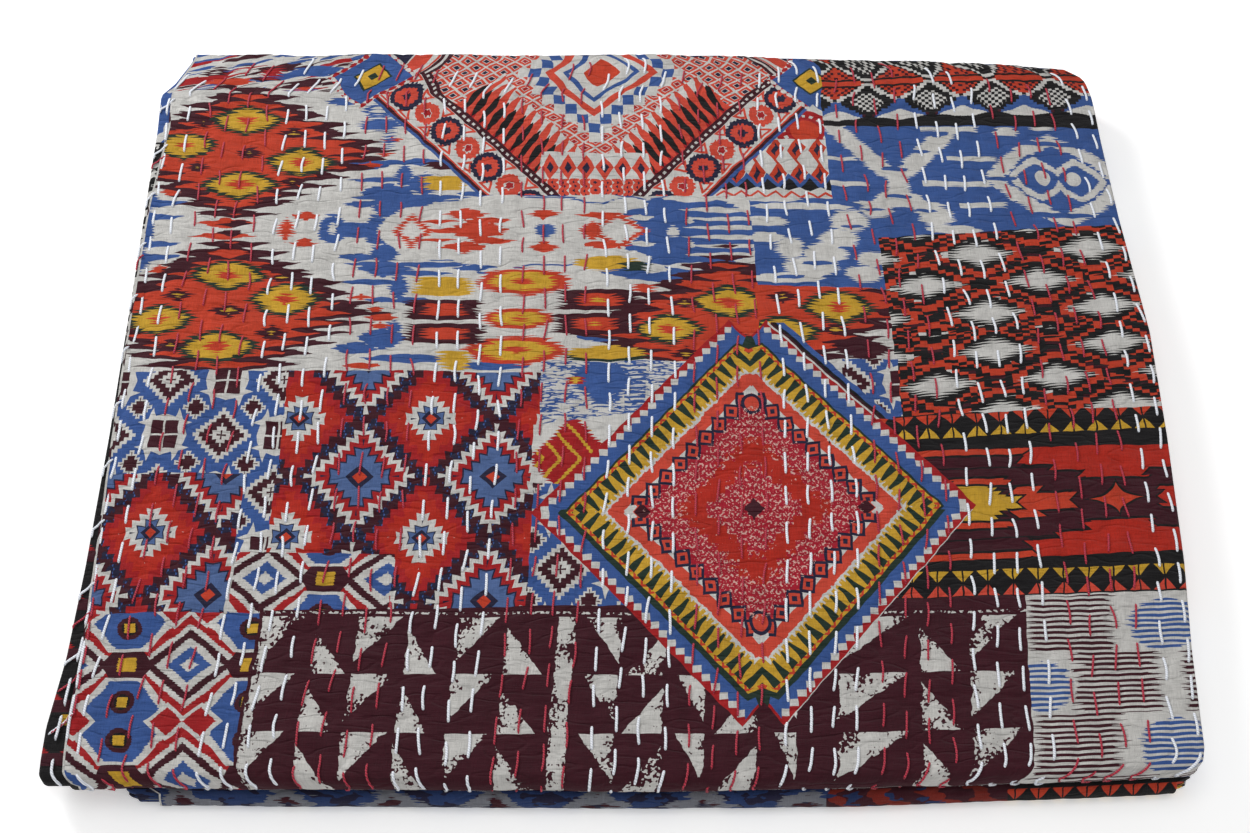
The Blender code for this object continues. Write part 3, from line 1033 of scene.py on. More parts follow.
def stepped_arrows(r, x, y):
    y = y + 99 - (x - 220) * 0.035
    up = abs(y)
    slant = (up / 5.8).math("FRACT") * 6
    ground = r.dye(MAROON, BLACK, abs(up - 26.5 + (x - 200) * 0.01) < 0.5)
    for blocks, colour in ((BRICK_BLOCKS, BRICK), (ORANGE_BLOCKS, ORANGE), (YELLOW_BLOCKS, MUSTARD)):
        depth = None
        for near, far, left, right in blocks:
            inner = (x - left - slant).least(right - x + slant).least((up - near).least(far - up))
            depth = inner if depth is None else depth.most(inner)
        ground = r.dye(ground, BLACK, depth > -1.8)
        ground = r.dye(ground, colour, depth > 0)
    point_x, point_y = abs(x - 305), up
    star = (point_x / 18).math("POWER", 0.62) + (point_y / 12).math("POWER", 0.62)
    ground = r.rings(ground, star, (1.16, BLACK), (1.0, ORANGE))
    return r.dye(ground, BLACK, up > 41)


# %% The great diamond, over its neighbours
# Its middle, its lean and its half sizes, in millimetres. What ends is a share of its size, as in the
# painter: 0 in the middle and about 1 at the edge.
DIAMOND_X, DIAMOND_Y = 74.2, -103
DIAMOND_LEAN, DIAMOND_BEND = 0.030, 0.026
DIAMOND_WIDE, DIAMOND_HIGH = 132.5, 153
DIAMOND_SLOPE = 0.020
EDGE_LENGTH = math.hypot(DIAMOND_WIDE, DIAMOND_HIGH)
DIAMOND_DEEP = DIAMOND_WIDE * DIAMOND_HIGH / EDGE_LENGTH
DIAMOND_ENDS = 1.066
STEPS = 25.5
NOTCH_HALF = 8.3
NOTCH_DEEP = 0.0145
NOTCH_FOOT = 133.5
BAND_ENDS = 1.139
LINK = 12.9


def diamond_offsets(x, y):
    across, up = x - DIAMOND_X, y - DIAMOND_Y
    lean = up * DIAMOND_LEAN - abs(up) * DIAMOND_BEND
    return abs(across + lean), abs(up - across * DIAMOND_SLOPE)


def diamond_size(across, up):
    """0 in the middle of the great diamond, about 1 at its edge. Its borders fold in at the two tips."""
    size = across / DIAMOND_WIDE + up / DIAMOND_HIGH
    grows = least(size * 16 - 10.6, size * 2.85 - 1.56)
    return size + most(grows * NOTCH_HALF - across, 0) * NOTCH_DEEP


def notch_depth(across, up):
    """How far a point lies inside the sharp notch in the diamond's outer edge, in millimetres."""
    return (across * 1.22 - up + NOTCH_FOOT) * 0.63


def great_diamond(r, x, y):
    across, up = diamond_offsets(x, y)
    size = diamond_size(across, up)
    stairs = stepped(across * STEPS / DIAMOND_WIDE, 1) + stepped(up * STEPS / DIAMOND_HIGH, 1)
    along = (across / DIAMOND_WIDE - up / DIAMOND_HIGH) * (EDGE_LENGTH / 2)
    ragged = r.noise(x, y, 0.35, 0.35, 2, 8) - 0.5
    # A white stair between the blue and a thin red edge, plain where the two tips fold in
    notch = notch_depth(across, up)
    square_part = (up * STEPS / DIAMOND_HIGH).math("FRACT") < 0.76
    ground = r.dye(RED, ECRU, (stairs < STEPS + 1) & (size < 1.058) & square_part)
    ground = r.dye(ground, COBALT, (stairs < STEPS) | ((across < 11) & (size < 1.05)))
    hemmed = (x > DIAMOND_X + 8) & (y < DIAMOND_Y)
    ground = r.dye(ground, ECRU, hemmed & (size > 1.060))
    ground = r.dye(ground, ECRU, (x > DIAMOND_X + 13) & (y > -34) & (size > 1.052))
    ground = r.dye(ground, RED, (notch < 1.6) & (across < 12))
    for edge, colour in ((DIAMOND_ENDS, MAROON), (1.082, BLACK), (1.101, COBALT)):
        ground = r.dye(ground, colour, size > edge)
    wedge = (4.5 - across).most(0) * 0.03
    rim = (y < DIAMOND_Y) * 0.024
    ground = r.dye(ground, GREEN, size < rim + wedge + 0.912)
    ground = r.dye(ground, MUSTARD, size < 0.897)
    crossed = ((along + size * 99).fold(3.4) < 1.1) | ((along - size * 99).fold(3.4) < 1.1)
    ground = r.dye(ground, ORANGE, crossed & (size > 0.872) & (size < 0.897))
    # Green spikes with yellow between them, over a ragged white edge
    spike = along.fold(4.1) / 4.1
    green = (spike < (size - 0.735) * 3.6 + 0.20) & (size > 0.742)
    ground = r.dye(ground, GREEN, green & (size < 0.872))
    between = abs(spike - 0.55) * 0.06
    ground = r.dye(ground, ECRU, size + ragged * 0.05 < 0.752 - between)
    ground = r.dye(ground, MUSTARD, (abs(spike - 0.8) < 0.16) & (size > 0.722) & (size < 0.76))
    ground = r.rings(ground, size + ragged * 0.03, (0.706, CORAL), (0.560, CRIMSON))
    # A chain of small squares
    depth = (size - 0.582) * DIAMOND_DEEP
    link = along.wrap(LINK / 2)
    link_x = (link * DIAMOND_WIDE + depth * DIAMOND_HIGH) / EDGE_LENGTH
    link_y = (depth * DIAMOND_WIDE - link * DIAMOND_HIGH) / EDGE_LENGTH
    square = abs(link_x).most(abs(link_y)) + (across.least(up) < 4.6) * 9
    ground = r.dye(ground, ECRU, (depth > 0) & (depth < 4.2) & (abs(link) > 2.6))
    ground = r.dye(ground, MAROON, lozenge(across - 71, up, 5.5, 6) < 1)
    ground = r.rings(ground, square, (5.4, NAVY), (3.5, CORAL), (1.6, NAVY))
    oval = round_size(across, up - 80, 7, 8.5)
    ground = r.rings(ground, oval, (1.0, NAVY), (0.7, CORAL))
    # Fine white arcs and dots, with a plain ring between them
    worn = r.noise(x, y, 0.30, 0.30, 2, 5)
    zone = stepped(across, 6) / DIAMOND_WIDE + stepped(up, 6) / DIAMOND_HIGH + (worn - 0.5) * 0.1
    ground = r.dye(ground, BRICK, (zone < 0.37) & (zone > 0.235))
    cell_y = y.wrap(2.7)
    cell_x = (x + y.odd(5.4) * 2.7).wrap(2.7)
    arc = abs(round_size(cell_x, cell_y, 1, 1) - 1.5)
    lace = (arc < 0.5) & (cell_y * ((x / 5.4).odd(1) - 0.5) > -0.15) & (worn > 0.42)
    lace = lace | (r.noise(x, y, 0.8, 0.8, 1, 61) > 0.665)
    laced = (zone < 0.535) & (zone > 0.36) | (zone < 0.24)
    ground = r.dye(ground, PINK, lace & laced & (size < 0.54))
    return r.dye(ground, MAROON, across / 7 + up / 8 + worn * 0.5 < 1.25)


# %% Stars and crosses on blue, at the left
def star_tiles(r, x, y):
    wide, high = 37, 43
    u = (x + 306).wrap(wide / 2)
    v = (y + 6).wrap(high / 2)
    rings = toothed(u, v, 19, 21, 3.8, 2.2) * 19
    diamond = r.dye(COBALT, ECRU, rings < 19)
    diamond = r.rings(diamond, rings, (14.6, MAROON), (7.4, ECRU), (2.4, MAROON))
    u, v = abs(u), abs(v)
    points = (abs(u - 8.5) * 3.4 + v < 20.5) | (abs(v - 9.5) * 2.8 + u < 17.5)
    star = r.dye(COBALT, ECRU, points | ((u < 9.6) & (v < 11.6)))
    star = r.dye(star, MAROON, (u < 8.6) & (v < 10.6) & (u.least(v) > 0.7))
    starred = abs((x + 306 + wide / 2).odd(wide) - (y + 6 + high / 2).odd(high)) > 0.5
    ground = r.dye(diamond, star, starred)
    cross = toothed((x + 306 + wide / 2).wrap(wide / 2), (y + 6 + high / 2).wrap(high / 2), 8, 9, 3.4, 2) * 8
    ground = r.dye(ground, ECRU, cross < 8.6)
    return r.dye(ground, MAROON, cross < 6.2)


def star_tiles_left(r, x, y):
    """The same cloth, left of the great diamond."""
    return star_tiles(r, x - 260, y + 141)


# %% Stepped diamonds of a flat-woven rug
def woven_diamonds(r, x, y):
    """Around x = 0 and y = 0 a red diamond, with blue ones between it and the next red ones."""
    half_x, half_y = 42.5, 44.5
    u, v = x.wrap(half_x), y.wrap(half_y)
    worn = r.noise(x, y, 0.14, 0.14, 2, 3)
    spots = round_size(x.wrap(2.5), (y + x.odd(5) * 2.5).wrap(2.5), 1, 1)
    ground = r.dye(MAROON, NAVY, worn > 0.52)
    ground = r.dye(ground, COBALT, (spots < 0.9) & (worn > 0.50))
    red = toothed(u, v, 34, 43, 7.4, 4)
    ground = r.dye(ground, RED, red < 1)
    ground = r.dye(ground, BRICK, red + (worn - 0.5) * 0.3 < 0.80)
    core = toothed(u, v, 18, 19, 6, 4.4) * 18
    heart = abs(u) + abs(v)
    ground = r.rings(ground, core, (18, ECRU), (10.8, NAVY), (9.2, DENIM))
    ground = r.rings(ground, heart, (6.5, NAVY), (3.6, ORANGE))
    u = (x + half_x).wrap(half_x)
    v = (y + half_y).wrap(half_y)
    blue = toothed(u, v, 34, 39, 7.4, 5)
    ground = r.rings(ground, blue, (1.0, ECRU), (0.83, RED), (0.66, NAVY), (0.59, DENIM))
    ground = r.dye(ground, NAVY, abs(u) + abs(v) < 9)
    return r.dye(ground, ORANGE, abs(u) + abs(v) < 4.5)


def rug_diamonds(r, x, y):
    return woven_diamonds(r, x + 134.5, y + 35.5)


def rug_diamonds_left(r, x, y):
    return woven_diamonds(r, x + 304, y + 122)


# %% Hexagons and eyes, at the front left
def eyed_hexagons(r, x, y):
    """Around x = 0 and y = 0 a yellow block: hexagons in front of it and behind it, diamonds at its sides."""
    fringe = teeth(r, x, y, 1.6, 1.7)
    u = abs(x.wrap(37.5))
    v = abs(y.wrap(36.5))
    diamond = 37.5 - u + v * 1.16 + fringe
    ground = r.dye(ECRU, RED, (diamond > 33) & (diamond < 41) & (u + v * 0.8 > 14))
    ground = r.dye(ground, MAROON, (diamond > 21.5) & (diamond < 28))
    ground = r.dye(ground, COBALT, diamond < 14.5)
    ground = r.dye(ground, ECRU, diamond < 6.5)
    edge = (v * 0.8 + 0.6).least(37 - v * 0.5)
    ground = r.dye(ground, ECRU, (u < edge + 4.5) & (v > 8.5))
    ground = r.dye(ground, COBALT, (u + fringe < edge) & (v > 10.6))
    wing = lozenge(27.5 - u, v - 36.5, 10.5, 9.5)
    ground = r.dye(ground, ECRU, wing < 1.3)
    ground = r.dye(ground, RED, wing + fringe * 0.05 < 1)
    eye = round_size(u, v - 24.2, 1, 1)
    ground = r.rings(ground, eye + fringe * 0.5, (8.2, MAROON), (5.4, BLACK))
    ground = r.dye(ground, MUSTARD, u.most(abs(v - 24.2)) + fringe * 0.4 < 3.6)
    ground = r.dye(ground, MAROON, (u + v * 0.7 < 16) & (v < 8.6))
    return r.dye(ground, MUSTARD, (u + fringe * 0.6 < 6.4) & (v < 4.6))


def front_hexagons(r, x, y):
    return eyed_hexagons(r, x + 303 + (y + 213) * 0.12, y + 213)


def small_hexagons(r, x, y):
    return eyed_hexagons(r, x + 191, y + 154)


# %% Worn triangles, along the front
# Columns: x of the upright side, width to the other side, and whether the triangle points down
TRIANGLE_COLUMNS = (
    (-226, 26, True),
    (-193, 22, False),
    (-167, 27, True),
    (-136, 20, False),
    (-106, 26, True),
    (-76, 24, False),
    (-6, -22, True),
    (22, -24, False),
    (47, -18, True),
    (78, -25, False),
    (102, -14, True),
    (126, 44, True),
    (176, 26, False),
    (206, 31, True),
)
TRIANGLE_TALL = 31
TRIANGLE_ROW = 38


def worn_triangles(r, x, y):
    fine = r.noise(x, y, 0.42, 0.42, 1, 2)
    coarse = r.noise(x, y, 0.045, 0.045, 1, 6)
    edge = r.noise(x, y, 0.2, 0.2, 3, 11)
    row = (-180 - y).math("FLOORED_MODULO", TRIANGLE_ROW)
    depth = (5.6 - abs(x + 39.5)) * 0.05
    depth = depth.most((3 - abs(x + 223)) * 0.05)
    for upright, width, points_down in TRIANGLE_COLUMNS:
        across = (x - upright) / width
        reach = 1 - row / TRIANGLE_TALL if points_down else (row - 7) / TRIANGLE_TALL
        depth = depth.most((reach - across).least(across))
    kept = fine * 0.75 + coarse * 0.9 + depth * 0.5 + edge * 0.25 > 0.93
    ground = r.dye(MAROON, ECRU, (depth + (edge - 0.5) * 0.12 > 0.015) & kept & (y < -180))
    return r.dye(ground, ECRU, (abs(y + 177.2) < 0.8) & (fine > 0.56))


# %% Stripes and striped dots, at the front right
# Columns: x, y, half width, half height
STRIPED_DOTS = ((328, -188, 23, 18), (328, -270, 23, 18), (250, -229, 17, 17), (250, -311, 17, 17))


def striped_dots(r, x, y):
    ragged = r.noise(x, y, 0.02, 1.1, 1, 4)
    line = (y + ragged * 0.9).fold(1.85) < 0.95
    block = (y + 207).odd(41)
    reach = 294 + block * 26 + (ragged - 0.5) * 26
    start = 244 + block * 26 + (ragged - 0.5) * 22
    ground = r.dye(ECRU, MAROON, line & (x < reach) & (x > start))
    ground = r.dye(ground, MAROON, line & (x > 336 + (ragged - 0.5) * 14) & (block > 0.5))
    for at_x, at_y, wide, high in STRIPED_DOTS:
        off = (abs(x - at_x) + (ragged - 0.5) * 12) / wide
        size = off * off + ((y - at_y) / high).math("POWER", 2)
        ground = r.dye(ground, ECRU, size < 1.25)
        ground = r.dye(ground, COBALT, (size < 1) & ((y + ragged).fold(1.85) < 1.0))
    return ground


# %% Two small pieces left of the great diamond
def small_ikat(r, x, y):
    rows = r.noise(x, y, 0.07, 0.34, 2, 20)
    fringe = (y.fold(1.8) < 0.8) & (abs(x + 2) < 7)
    ground = r.dye(ECRU, COBALT, (abs(rows - 0.5) < 0.05) | fringe)
    forms = (
        (-24, -3, 22, 17, (1.0, COBALT)),
        (-24, -14, 12, 12, (1.0, COBALT)),
        (-41, -4, 9, 5, (1.0, RED), (0.7, MUSTARD)),
    )
    return draw_forms(r, ground, x, y, teeth(r, x, y, 5, 2.4), forms, "oval")


def leaf(r, x, y):
    edge = teeth(r, x, y, 5)
    rib = (x + abs(y + 66) * 0.8 + edge * 0.3).fold(6)
    ground = r.dye(RED, MUSTARD, rib < 1.4)
    return r.dye(ground, ECRU, abs(x + 42) + abs(y + 66) * 0.8 + edge > 30)


# %% Cloth that shows only at the folds
# The band at the lower front fold, under the overhang: its blots and lozenges are print, done in darker dyes
# that paint the shade falling there.
def shaded_lower_blue(r, x, y):
    edge = teeth(r, x, y, 6, 1.6)
    u = abs((x + 40).wrap(34))
    size = (u + edge) / 30 + abs(y + 402) / 16
    blots = r.noise(x, y, 0.06, 0.16, 2, 12)
    ground = r.dye(NAVY, SHADED_BLUE, blots > 0.46)
    ground = r.dye(ground, SHADED_ECRU, size + (blots - 0.5) < 0.86)
    return r.dye(ground, r.dye(MAROON, NAVY, blots > 0.52), size + (blots - 0.5) < 0.42)


# The same band further right: its red and blue are darker dyes as painted shade, while the triangles at its
# right end keep their own colours.
def shaded_lower_red(r, x, y):
    blots = r.noise(x, y, 0.06, 0.16, 2, 15)
    ground = r.dye(MAROON, SHADED_RED, (x + y * 1.5).fold(16) + (blots - 0.5) * 30 < 6)
    ground = r.dye(ground, DEEP_SHADED_BLUE, (blots > 0.60) & (x < 190))
    return r.dye(ground, triangle_border(r, x, y + 404, ORANGE, MUSTARD), x > 230)


def hem_line(r, x, y):
    """The turned edge of the face, pale where it is worn."""
    return r.dye(MAROON, ECRU, r.noise(x, y, 0.2, 0.06, 2, 3) > 0.42)


def reverse_print(r, x, y):
    """The cloth on the reverse: dark, with yellow blocks, red towards the front and blue at the back."""
    edge = teeth(r, x, y, 4, 1.6)
    u = (y + 12).wrap(23)
    v = x.wrap(11)
    ground = r.dye(BLACK, ECRU, (abs(u) + edge) / 16 + abs(v) / 8 < 1)
    ground = r.dye(ground, MUSTARD, (abs(u - 11) + abs(v) < 8) | (abs(u + 11) + abs(v) < 8))
    front = r.dye(BLACK, RED, (abs((y + 200).wrap(17)) + edge) / 8 + abs((x + 2).wrap(9)) / 7 < 1)
    front = r.dye(front, MAROON, abs(y.wrap(17)) < 4)
    front = r.dye(front, MUSTARD, (abs((y + 247).wrap(34)) < 3.5) & (abs((x + 1).wrap(11)) < 4))
    ground = r.dye(ground, front, y + edge * 3 < -120)
    stripes = r.dye(ECRU, BLACK, r.noise(x, y, 0.09, 0.14, 2, 4) > 0.49)
    ground = r.dye(ground, stripes, (y + edge * 3 > 40) & (y < 205))
    blue = r.dye(COBALT, ECRU, r.noise(x, y, 0.10, 0.05, 1, 8) > 0.58)
    ground = r.dye(ground, blue, y > 205)
    # Near the lower front fold the reverse takes the same band, with its painted shade.
    return r.dye(ground, shaded_lower_blue(r, x, y), y < -325)


# %% [markdown]
# ## The layout of the patches
#
# Each patch is a piece of the print with straight cut edges, which needn't be square. A later row lies
# over an earlier one. The same function says how far inside a patch a point is, both for numbers in
# Python and for values in a shader.

# %% Patches
def medallion_cut(x, y):
    from_middle = abs(x - MEDALLION_X) / MEDALLION_SLIM + abs(MEDALLION_Y - y)
    return (MEDALLION_EDGE - from_middle) * 0.66


def diamond_cut(x, y):
    across, up = diamond_offsets(x, y)
    size = diamond_size(across, up)
    diamond = least((DIAMOND_ENDS - size) * DIAMOND_DEEP, notch_depth(across, up))
    band = least(least((BAND_ENDS - size) * DIAMOND_DEEP, x - DIAMOND_X - 15), least(y + 34, 44 - y))
    return most(diamond, band)


# Columns: painter, left, right, front at the left, front at the right, back at the left, back at the
# right, and the function of its cut for a patch that isn't four-sided
PATCHES = (
    (ikat_garden, -400, 400, -500, -500, 400, 400),
    (ikat_garden_cut, 81, 176, -70, -70, 76, 73),
    (cobalt_ikat, 83, 400, 76, 66, 240, 240),
    (fans, 60, 142, 154, 154, 400, 400),
    (medallion, -205, 142, 154, 154, 400, 400, medallion_cut),
    (checked_diamonds, 142, 400, 222, 231, 400, 400),
    (striped_lozenges, 170, 400, -46, -10, 118, 141),
    (star_tiles, 135, 172, -60, -60, 14, 14),
    (star_tiles, -400, -226, -81, -81, 2, 2),
    (star_tiles, -251, -226, -139, -139, 2, 2),
    (rug_diamonds, -230, -62, -178, -178, 2, 2),
    (rug_diamonds_left, -400, -250, -178, -178, -78, -78),
    (small_ikat, -64, 40, -80, -80, 11, 11),
    (leaf, -68, 10, -90, -90, -40, -28),
    (star_tiles_left, -66, 40, -178, -178, -84, -84),
    (small_hexagons, -248, -150, -178, -178, -136, -136),
    (front_hexagons, -400, -228, -340, -340, -178, -178),
    (stepped_arrows, 150, 400, -160, -150, -50, -30),
    (upper_triangles, 150, 400, -54, -41, -33, -20),
    (lower_triangles, 150, 400, -168, -164, -147, -143),
    (worn_triangles, -228, 242, -340, -340, -176, -166),
    (striped_dots, 242, 400, -340, -340, -168, -164),
    (shaded_lower_blue, -400, 110, -500, -500, -340, -340),
    (shaded_lower_red, 110, 400, -500, -500, -340, -340),
    (great_diamond, -80, 232, -274, -274, 62, 62, diamond_cut),
    (hem_line, -600, -405, -500, -500, 400, 400),
)


def inside(patch, x, y):
    """How far a point lies inside a patch, in millimetres. In a shader the diamond needs its cut alone."""
    painter, left, right, front_left, front_right, back_left, back_right, *cut = patch
    share = (x - left) / (right - left)
    front = front_left if front_left == front_right else front_left + share * (front_right - front_left)
    back = back_left if back_left == back_right else back_left + share * (back_right - back_left)
    if isinstance(x, Value) and painter is great_diamond:
        return cut[0](x, y)
    depth = least(least(x - left, right - x), least(y - front, back - y))
    return least(depth, cut[0](x, y)) if cut else depth


# %% [markdown]
# ## The cloth's finish
#
# All patches share one finish. Washed cotton is matt and a little uneven: thicker threads run through it
# both ways, which show as slubs in the weave, and the colour is a bit weaker where the cloth is rubbed.
# The weave is a bump, because its threads are far finer than any mesh should be.

# %% Finish of the printed cotton
CLOTH_MAP = "cloth"
PLACE = (("x", "Float"), ("y", "Float"))


def cotton_group():
    """From a place and the print's colour: the worn colour, the roughness and the weave's height."""
    inputs = (*PLACE, ("colour", "Color"))
    outputs = (("colour", "Color"), ("roughness", "Float"), ("height", "Float"))
    tree, r, (x, y, colour) = group("washed_cotton", inputs, outputs)
    weft = r.noise(x, y, 0.10, 1.9, 2, 31)
    warp = r.noise(x, y, 1.9, 0.10, 2, 77)
    rubbed = r.noise(x, y, 0.03, 0.03, 3, 55)
    slub = weft + warp
    light = slub * 0.42 + rubbed * 0.30 + 0.43
    grey = r.node("ShaderNodeCombineColor", None, {0: light, 1: light, 2: light})
    settings = {"data_type": "RGBA", "blend_type": "MULTIPLY"}
    worn = r.node("ShaderNodeMix", settings, {0: 1.0, 6: colour, 7: grey}, 2)
    threads = (x * 9.0).math("SINE") * (y * 9.0).math("SINE")
    creased = r.noise(x, y, 0.035, 0.13, 2, 90)
    pucker = (abs(r.noise(x, y, 0.026, 0.085, 1, 40) - 0.5) * 16).least(1)
    height = slub * 0.5 + threads * 0.08 + creased * 2.0 + pucker * 0.7
    r.node("NodeGroupOutput", None, {0: worn, 1: rubbed * 0.14 + 0.82, 2: height})
    return tree


COTTON = cotton_group()


def cloth_material(name, paint):
    """A cotton material whose colour comes from paint(r, x, y), with places in millimetres."""
    material, r, shader = surface(name)
    at = r.node("ShaderNodeUVMap", {"uv_map": CLOTH_MAP})
    x = r.node("ShaderNodeSeparateXYZ", None, {0: at}, 0)
    y = r.node("ShaderNodeSeparateXYZ", None, {0: at}, 1)
    x = x + (r.noise(x, y, 0.09, 0.09, 1, 13) - 0.5) * 2.2
    finish = r.node("ShaderNodeGroup", {"node_tree": COTTON}, {0: x, 1: y, 2: paint(r, x, y)})
    colour, roughness, height = (Value(r, socket) for socket in finish.socket.node.outputs)
    bump = {"Height": height, "Strength": 1.0, "Distance": 0.0013}
    r.feed(shader, {
        "Base Color": colour,
        "Roughness": roughness,
        "Normal": r.node("ShaderNodeBump", None, bump),
        "Specular IOR Level": 0.15,
        "Sheen Weight": 0.04,
        "Sheen Roughness": 0.6,
    })
    return material


# %% [markdown]
# ## Windows
#
# One material with every patch in it would have thousands of nodes, and every ray would work through all
# of them. So the cloth is cut into windows: faces that meet the same patches, in the same tile of a
# coarse grid, share a material that paints those patches alone. The seams between windows don't show,
# because all of them paint the same print.

# %% Sorting the faces into windows
TILE_WIDE, TILE_DEEP = 116, 118
TILES_ACROSS = 16
TILE_BITS = 32
FIRST_TILE = (-400, -500)
TILE_MARGIN = 5
EDGE_MARGIN = 6
WIDEST_PRINTED = 40
MANY_FORMS = (ikat_garden,)


def window_keys(u, v, half_u, half_v):
    """For each face a number: which patches it meets and, where one has many forms, in which tile."""
    reach = np.maximum(half_u, half_v) + EDGE_MARGIN
    key = np.zeros(u.shape, np.int64)
    for place, patch in enumerate(PATCHES):
        depth = inside(patch, u, v)
        bit = np.int64(1) << place
        key = np.where(depth > reach, bit, np.where(depth > -reach, key | bit, key))
    tile_x = ((u - FIRST_TILE[0]) // TILE_WIDE).astype(np.int64)
    tile_y = ((v - FIRST_TILE[1]) // TILE_DEEP).astype(np.int64)
    return key + np.where(key & 1 == 1, (tile_x + TILES_ACROSS * tile_y) << TILE_BITS, 0)


patterns = {}


def pattern(painter, tile):
    """The node group of a painter, which takes a place on the print and gives its colour."""
    tile = tile if painter in MANY_FORMS else None
    if (painter, tile) not in patterns:
        window = None
        if tile is not None:
            left = FIRST_TILE[0] + TILE_WIDE * (tile % TILES_ACROSS)
            front = FIRST_TILE[1] + TILE_DEEP * (tile // TILES_ACROSS)
            window = (left - TILE_MARGIN, left + TILE_WIDE + TILE_MARGIN)
            window += (front - TILE_MARGIN, front + TILE_DEEP + TILE_MARGIN)
        name = painter.__name__ if tile is None else f"{painter.__name__}_{tile}"
        tree, r, (x, y) = group(name, PLACE, (("colour", "Color"),), window)
        r.node("NodeGroupOutput", None, {0: painter(r, x, y)})
        patterns[painter, tile] = tree
    return patterns[painter, tile]


def window_painter(key):
    """A function that paints only the patches of one window, laid over each other in order."""
    shown = [patch for place, patch in enumerate(PATCHES) if key >> place & 1]

    def paint(r, x, y):
        colour = None
        for patch in shown:
            tree = pattern(patch[0], key >> TILE_BITS)
            dyed = r.node("ShaderNodeGroup", {"node_tree": tree}, {0: x, 1: y})
            colour = dyed if colour is None else r.dye(colour, dyed, inside(patch, x, y) > 0)
        return colour

    return paint


middle_u = u_quads.mean(-1)
middle_v = v_quads.mean(-1)
half_u = np.ptp(u_quads, -1) / 2
half_v = np.ptp(v_quads, -1) / 2
keys = window_keys(middle_u, middle_v, half_u, half_v)
face_side = SECTIONS[:-1, :, 4] == FACE
face_side = face_side & (np.roll(SECTIONS[:-1, :, 4], -1, 1) == FACE)
printed = face_side & (half_u < WIDEST_PRINTED) & (half_v < WIDEST_PRINTED)

materials = [cloth_material("dark_reverse_print", reverse_print)]
material_of = np.zeros(keys.shape, np.int64)
for key in np.unique(keys[printed]):
    material_of[printed & (keys == key)] = len(materials)
    materials.append(cloth_material(f"print_{len(materials)}", window_painter(int(key))))
print("windows", len(materials) - 1, "patterns", len(patterns))
print("most nodes in a pattern", max(len(tree.nodes) for tree in patterns.values()))

# %% [markdown]
# ## Making the quilt
#
# The second map lays the same grid out flat. A stretch of the section or of the path that shows gets room
# in proportion to its length, and one hidden in the stack gets hardly any.

# %% The quilt's mesh
HIDDEN_ROOM = 0.02
UNDERSIDE_ROOM = 0.12
CAP_ROOM = 0.012
HIDDEN_HALF_WIDTH = 20
CAP_PRINT = 280.0
SHARP_ANGLE = 50


def placed(name, data):
    """A new object in the scene."""
    thing = bpy.data.objects.new(name, data)
    bpy.context.scene.collection.objects.link(thing)
    return thing


def running(lengths, room):
    """How far along a row each point is in the flat layout, from 0 to 1."""
    total = np.concatenate([[0], np.cumsum(lengths * room)])
    return total / total[-1]


ring = places[0]
across_lengths = np.linalg.norm(np.roll(ring, -1, 0) - ring, axis=1)
plain = half_u[0] > HIDDEN_HALF_WIDTH
across_room = running(across_lengths, np.where(plain, HIDDEN_ROOM, 1.0))
along_lengths = np.linalg.norm(np.diff(PATH[:, :2], axis=0), axis=1)
leg = PATH[:-1, 7]
along_room = np.where(leg == 6, UNDERSIDE_ROOM, np.where((leg == 2) | (leg == 4), HIDDEN_ROOM, 1.0))
along_room = running(along_lengths, along_room) * (1 - 2 * CAP_ROOM)

bake_u = np.stack([across_room[:-1], across_room[:-1], across_room[1:], across_room[1:]], -1)
bake_v = np.stack([along_room[:-1], along_room[1:], along_room[1:], along_room[:-1]], -1)
bake_quads = np.stack(np.broadcast_arrays(bake_u[None], bake_v[:, None, :]), -1)
cloth_quads = np.stack([u_quads, v_quads], -1)

mesh = bpy.data.meshes.new("quilt")
faces = quads.reshape(-1, 4).tolist() + [tuple(int(i) for i in face) for face in caps]
mesh.from_pydata(places.reshape(-1, 3).tolist(), [], faces)
cap_corners = np.array(caps).ravel()
cap_around = cap_corners % around
cap_is_face = cap_around < turned
cap_end = cap_corners // around > 0
cap_cloth = np.stack([SECTIONS[0, cap_around, 3], np.where(cap_end, -CAP_PRINT, CAP_PRINT)], -1)
cap_row = 1 - CAP_ROOM * (1.5 - cap_end) + np.where(cap_is_face, 0.3, 0.0) * CAP_ROOM
cap_bake = np.stack([share_row[cap_around] / share_row.max(), cap_row], -1)
for name, quad_values, cap_values in (
    (CLOTH_MAP, cloth_quads, cap_cloth),
    ("OFBake", bake_quads, cap_bake),
):
    layer = mesh.uv_layers.new(name=name)
    values = np.concatenate([quad_values.reshape(-1, 2), cap_values])
    layer.uv.foreach_set("vector", values.astype(np.float32).ravel())
for material in materials:
    mesh.materials.append(material)
indices = np.concatenate([material_of.ravel(), np.zeros(len(caps), np.int64)])
mesh.polygons.foreach_set("material_index", indices.astype(np.int32))
mesh.shade_smooth()
mesh.set_sharp_from_angle(angle=math.radians(SHARP_ANGLE))
mesh.update()
mesh.validate()
quilt = placed("quilted_cloth", mesh)
print("quilt faces", len(mesh.polygons), "triangles", len(quads.reshape(-1, 4)) * 2 + len(caps))

# %% [markdown]
# ## The running stitch
#
# The thread is thick, white in some rows and crimson in others, four rows of each at a time. A stitch
# comes up out of the cloth, lies on it for 16 to 20 mm, and goes down again. A texture couldn't catch the
# light like a real thread, so every stitch is a small tube of its own, all joined in one mesh for each
# colour. Two strands are twisted together, which the tube shows as two lobes that turn along it.

# %% A point on the face of the cloth
# The stops of the top run and the upper front fold
FRONT_STOPS = PATH[:, 7] < 2


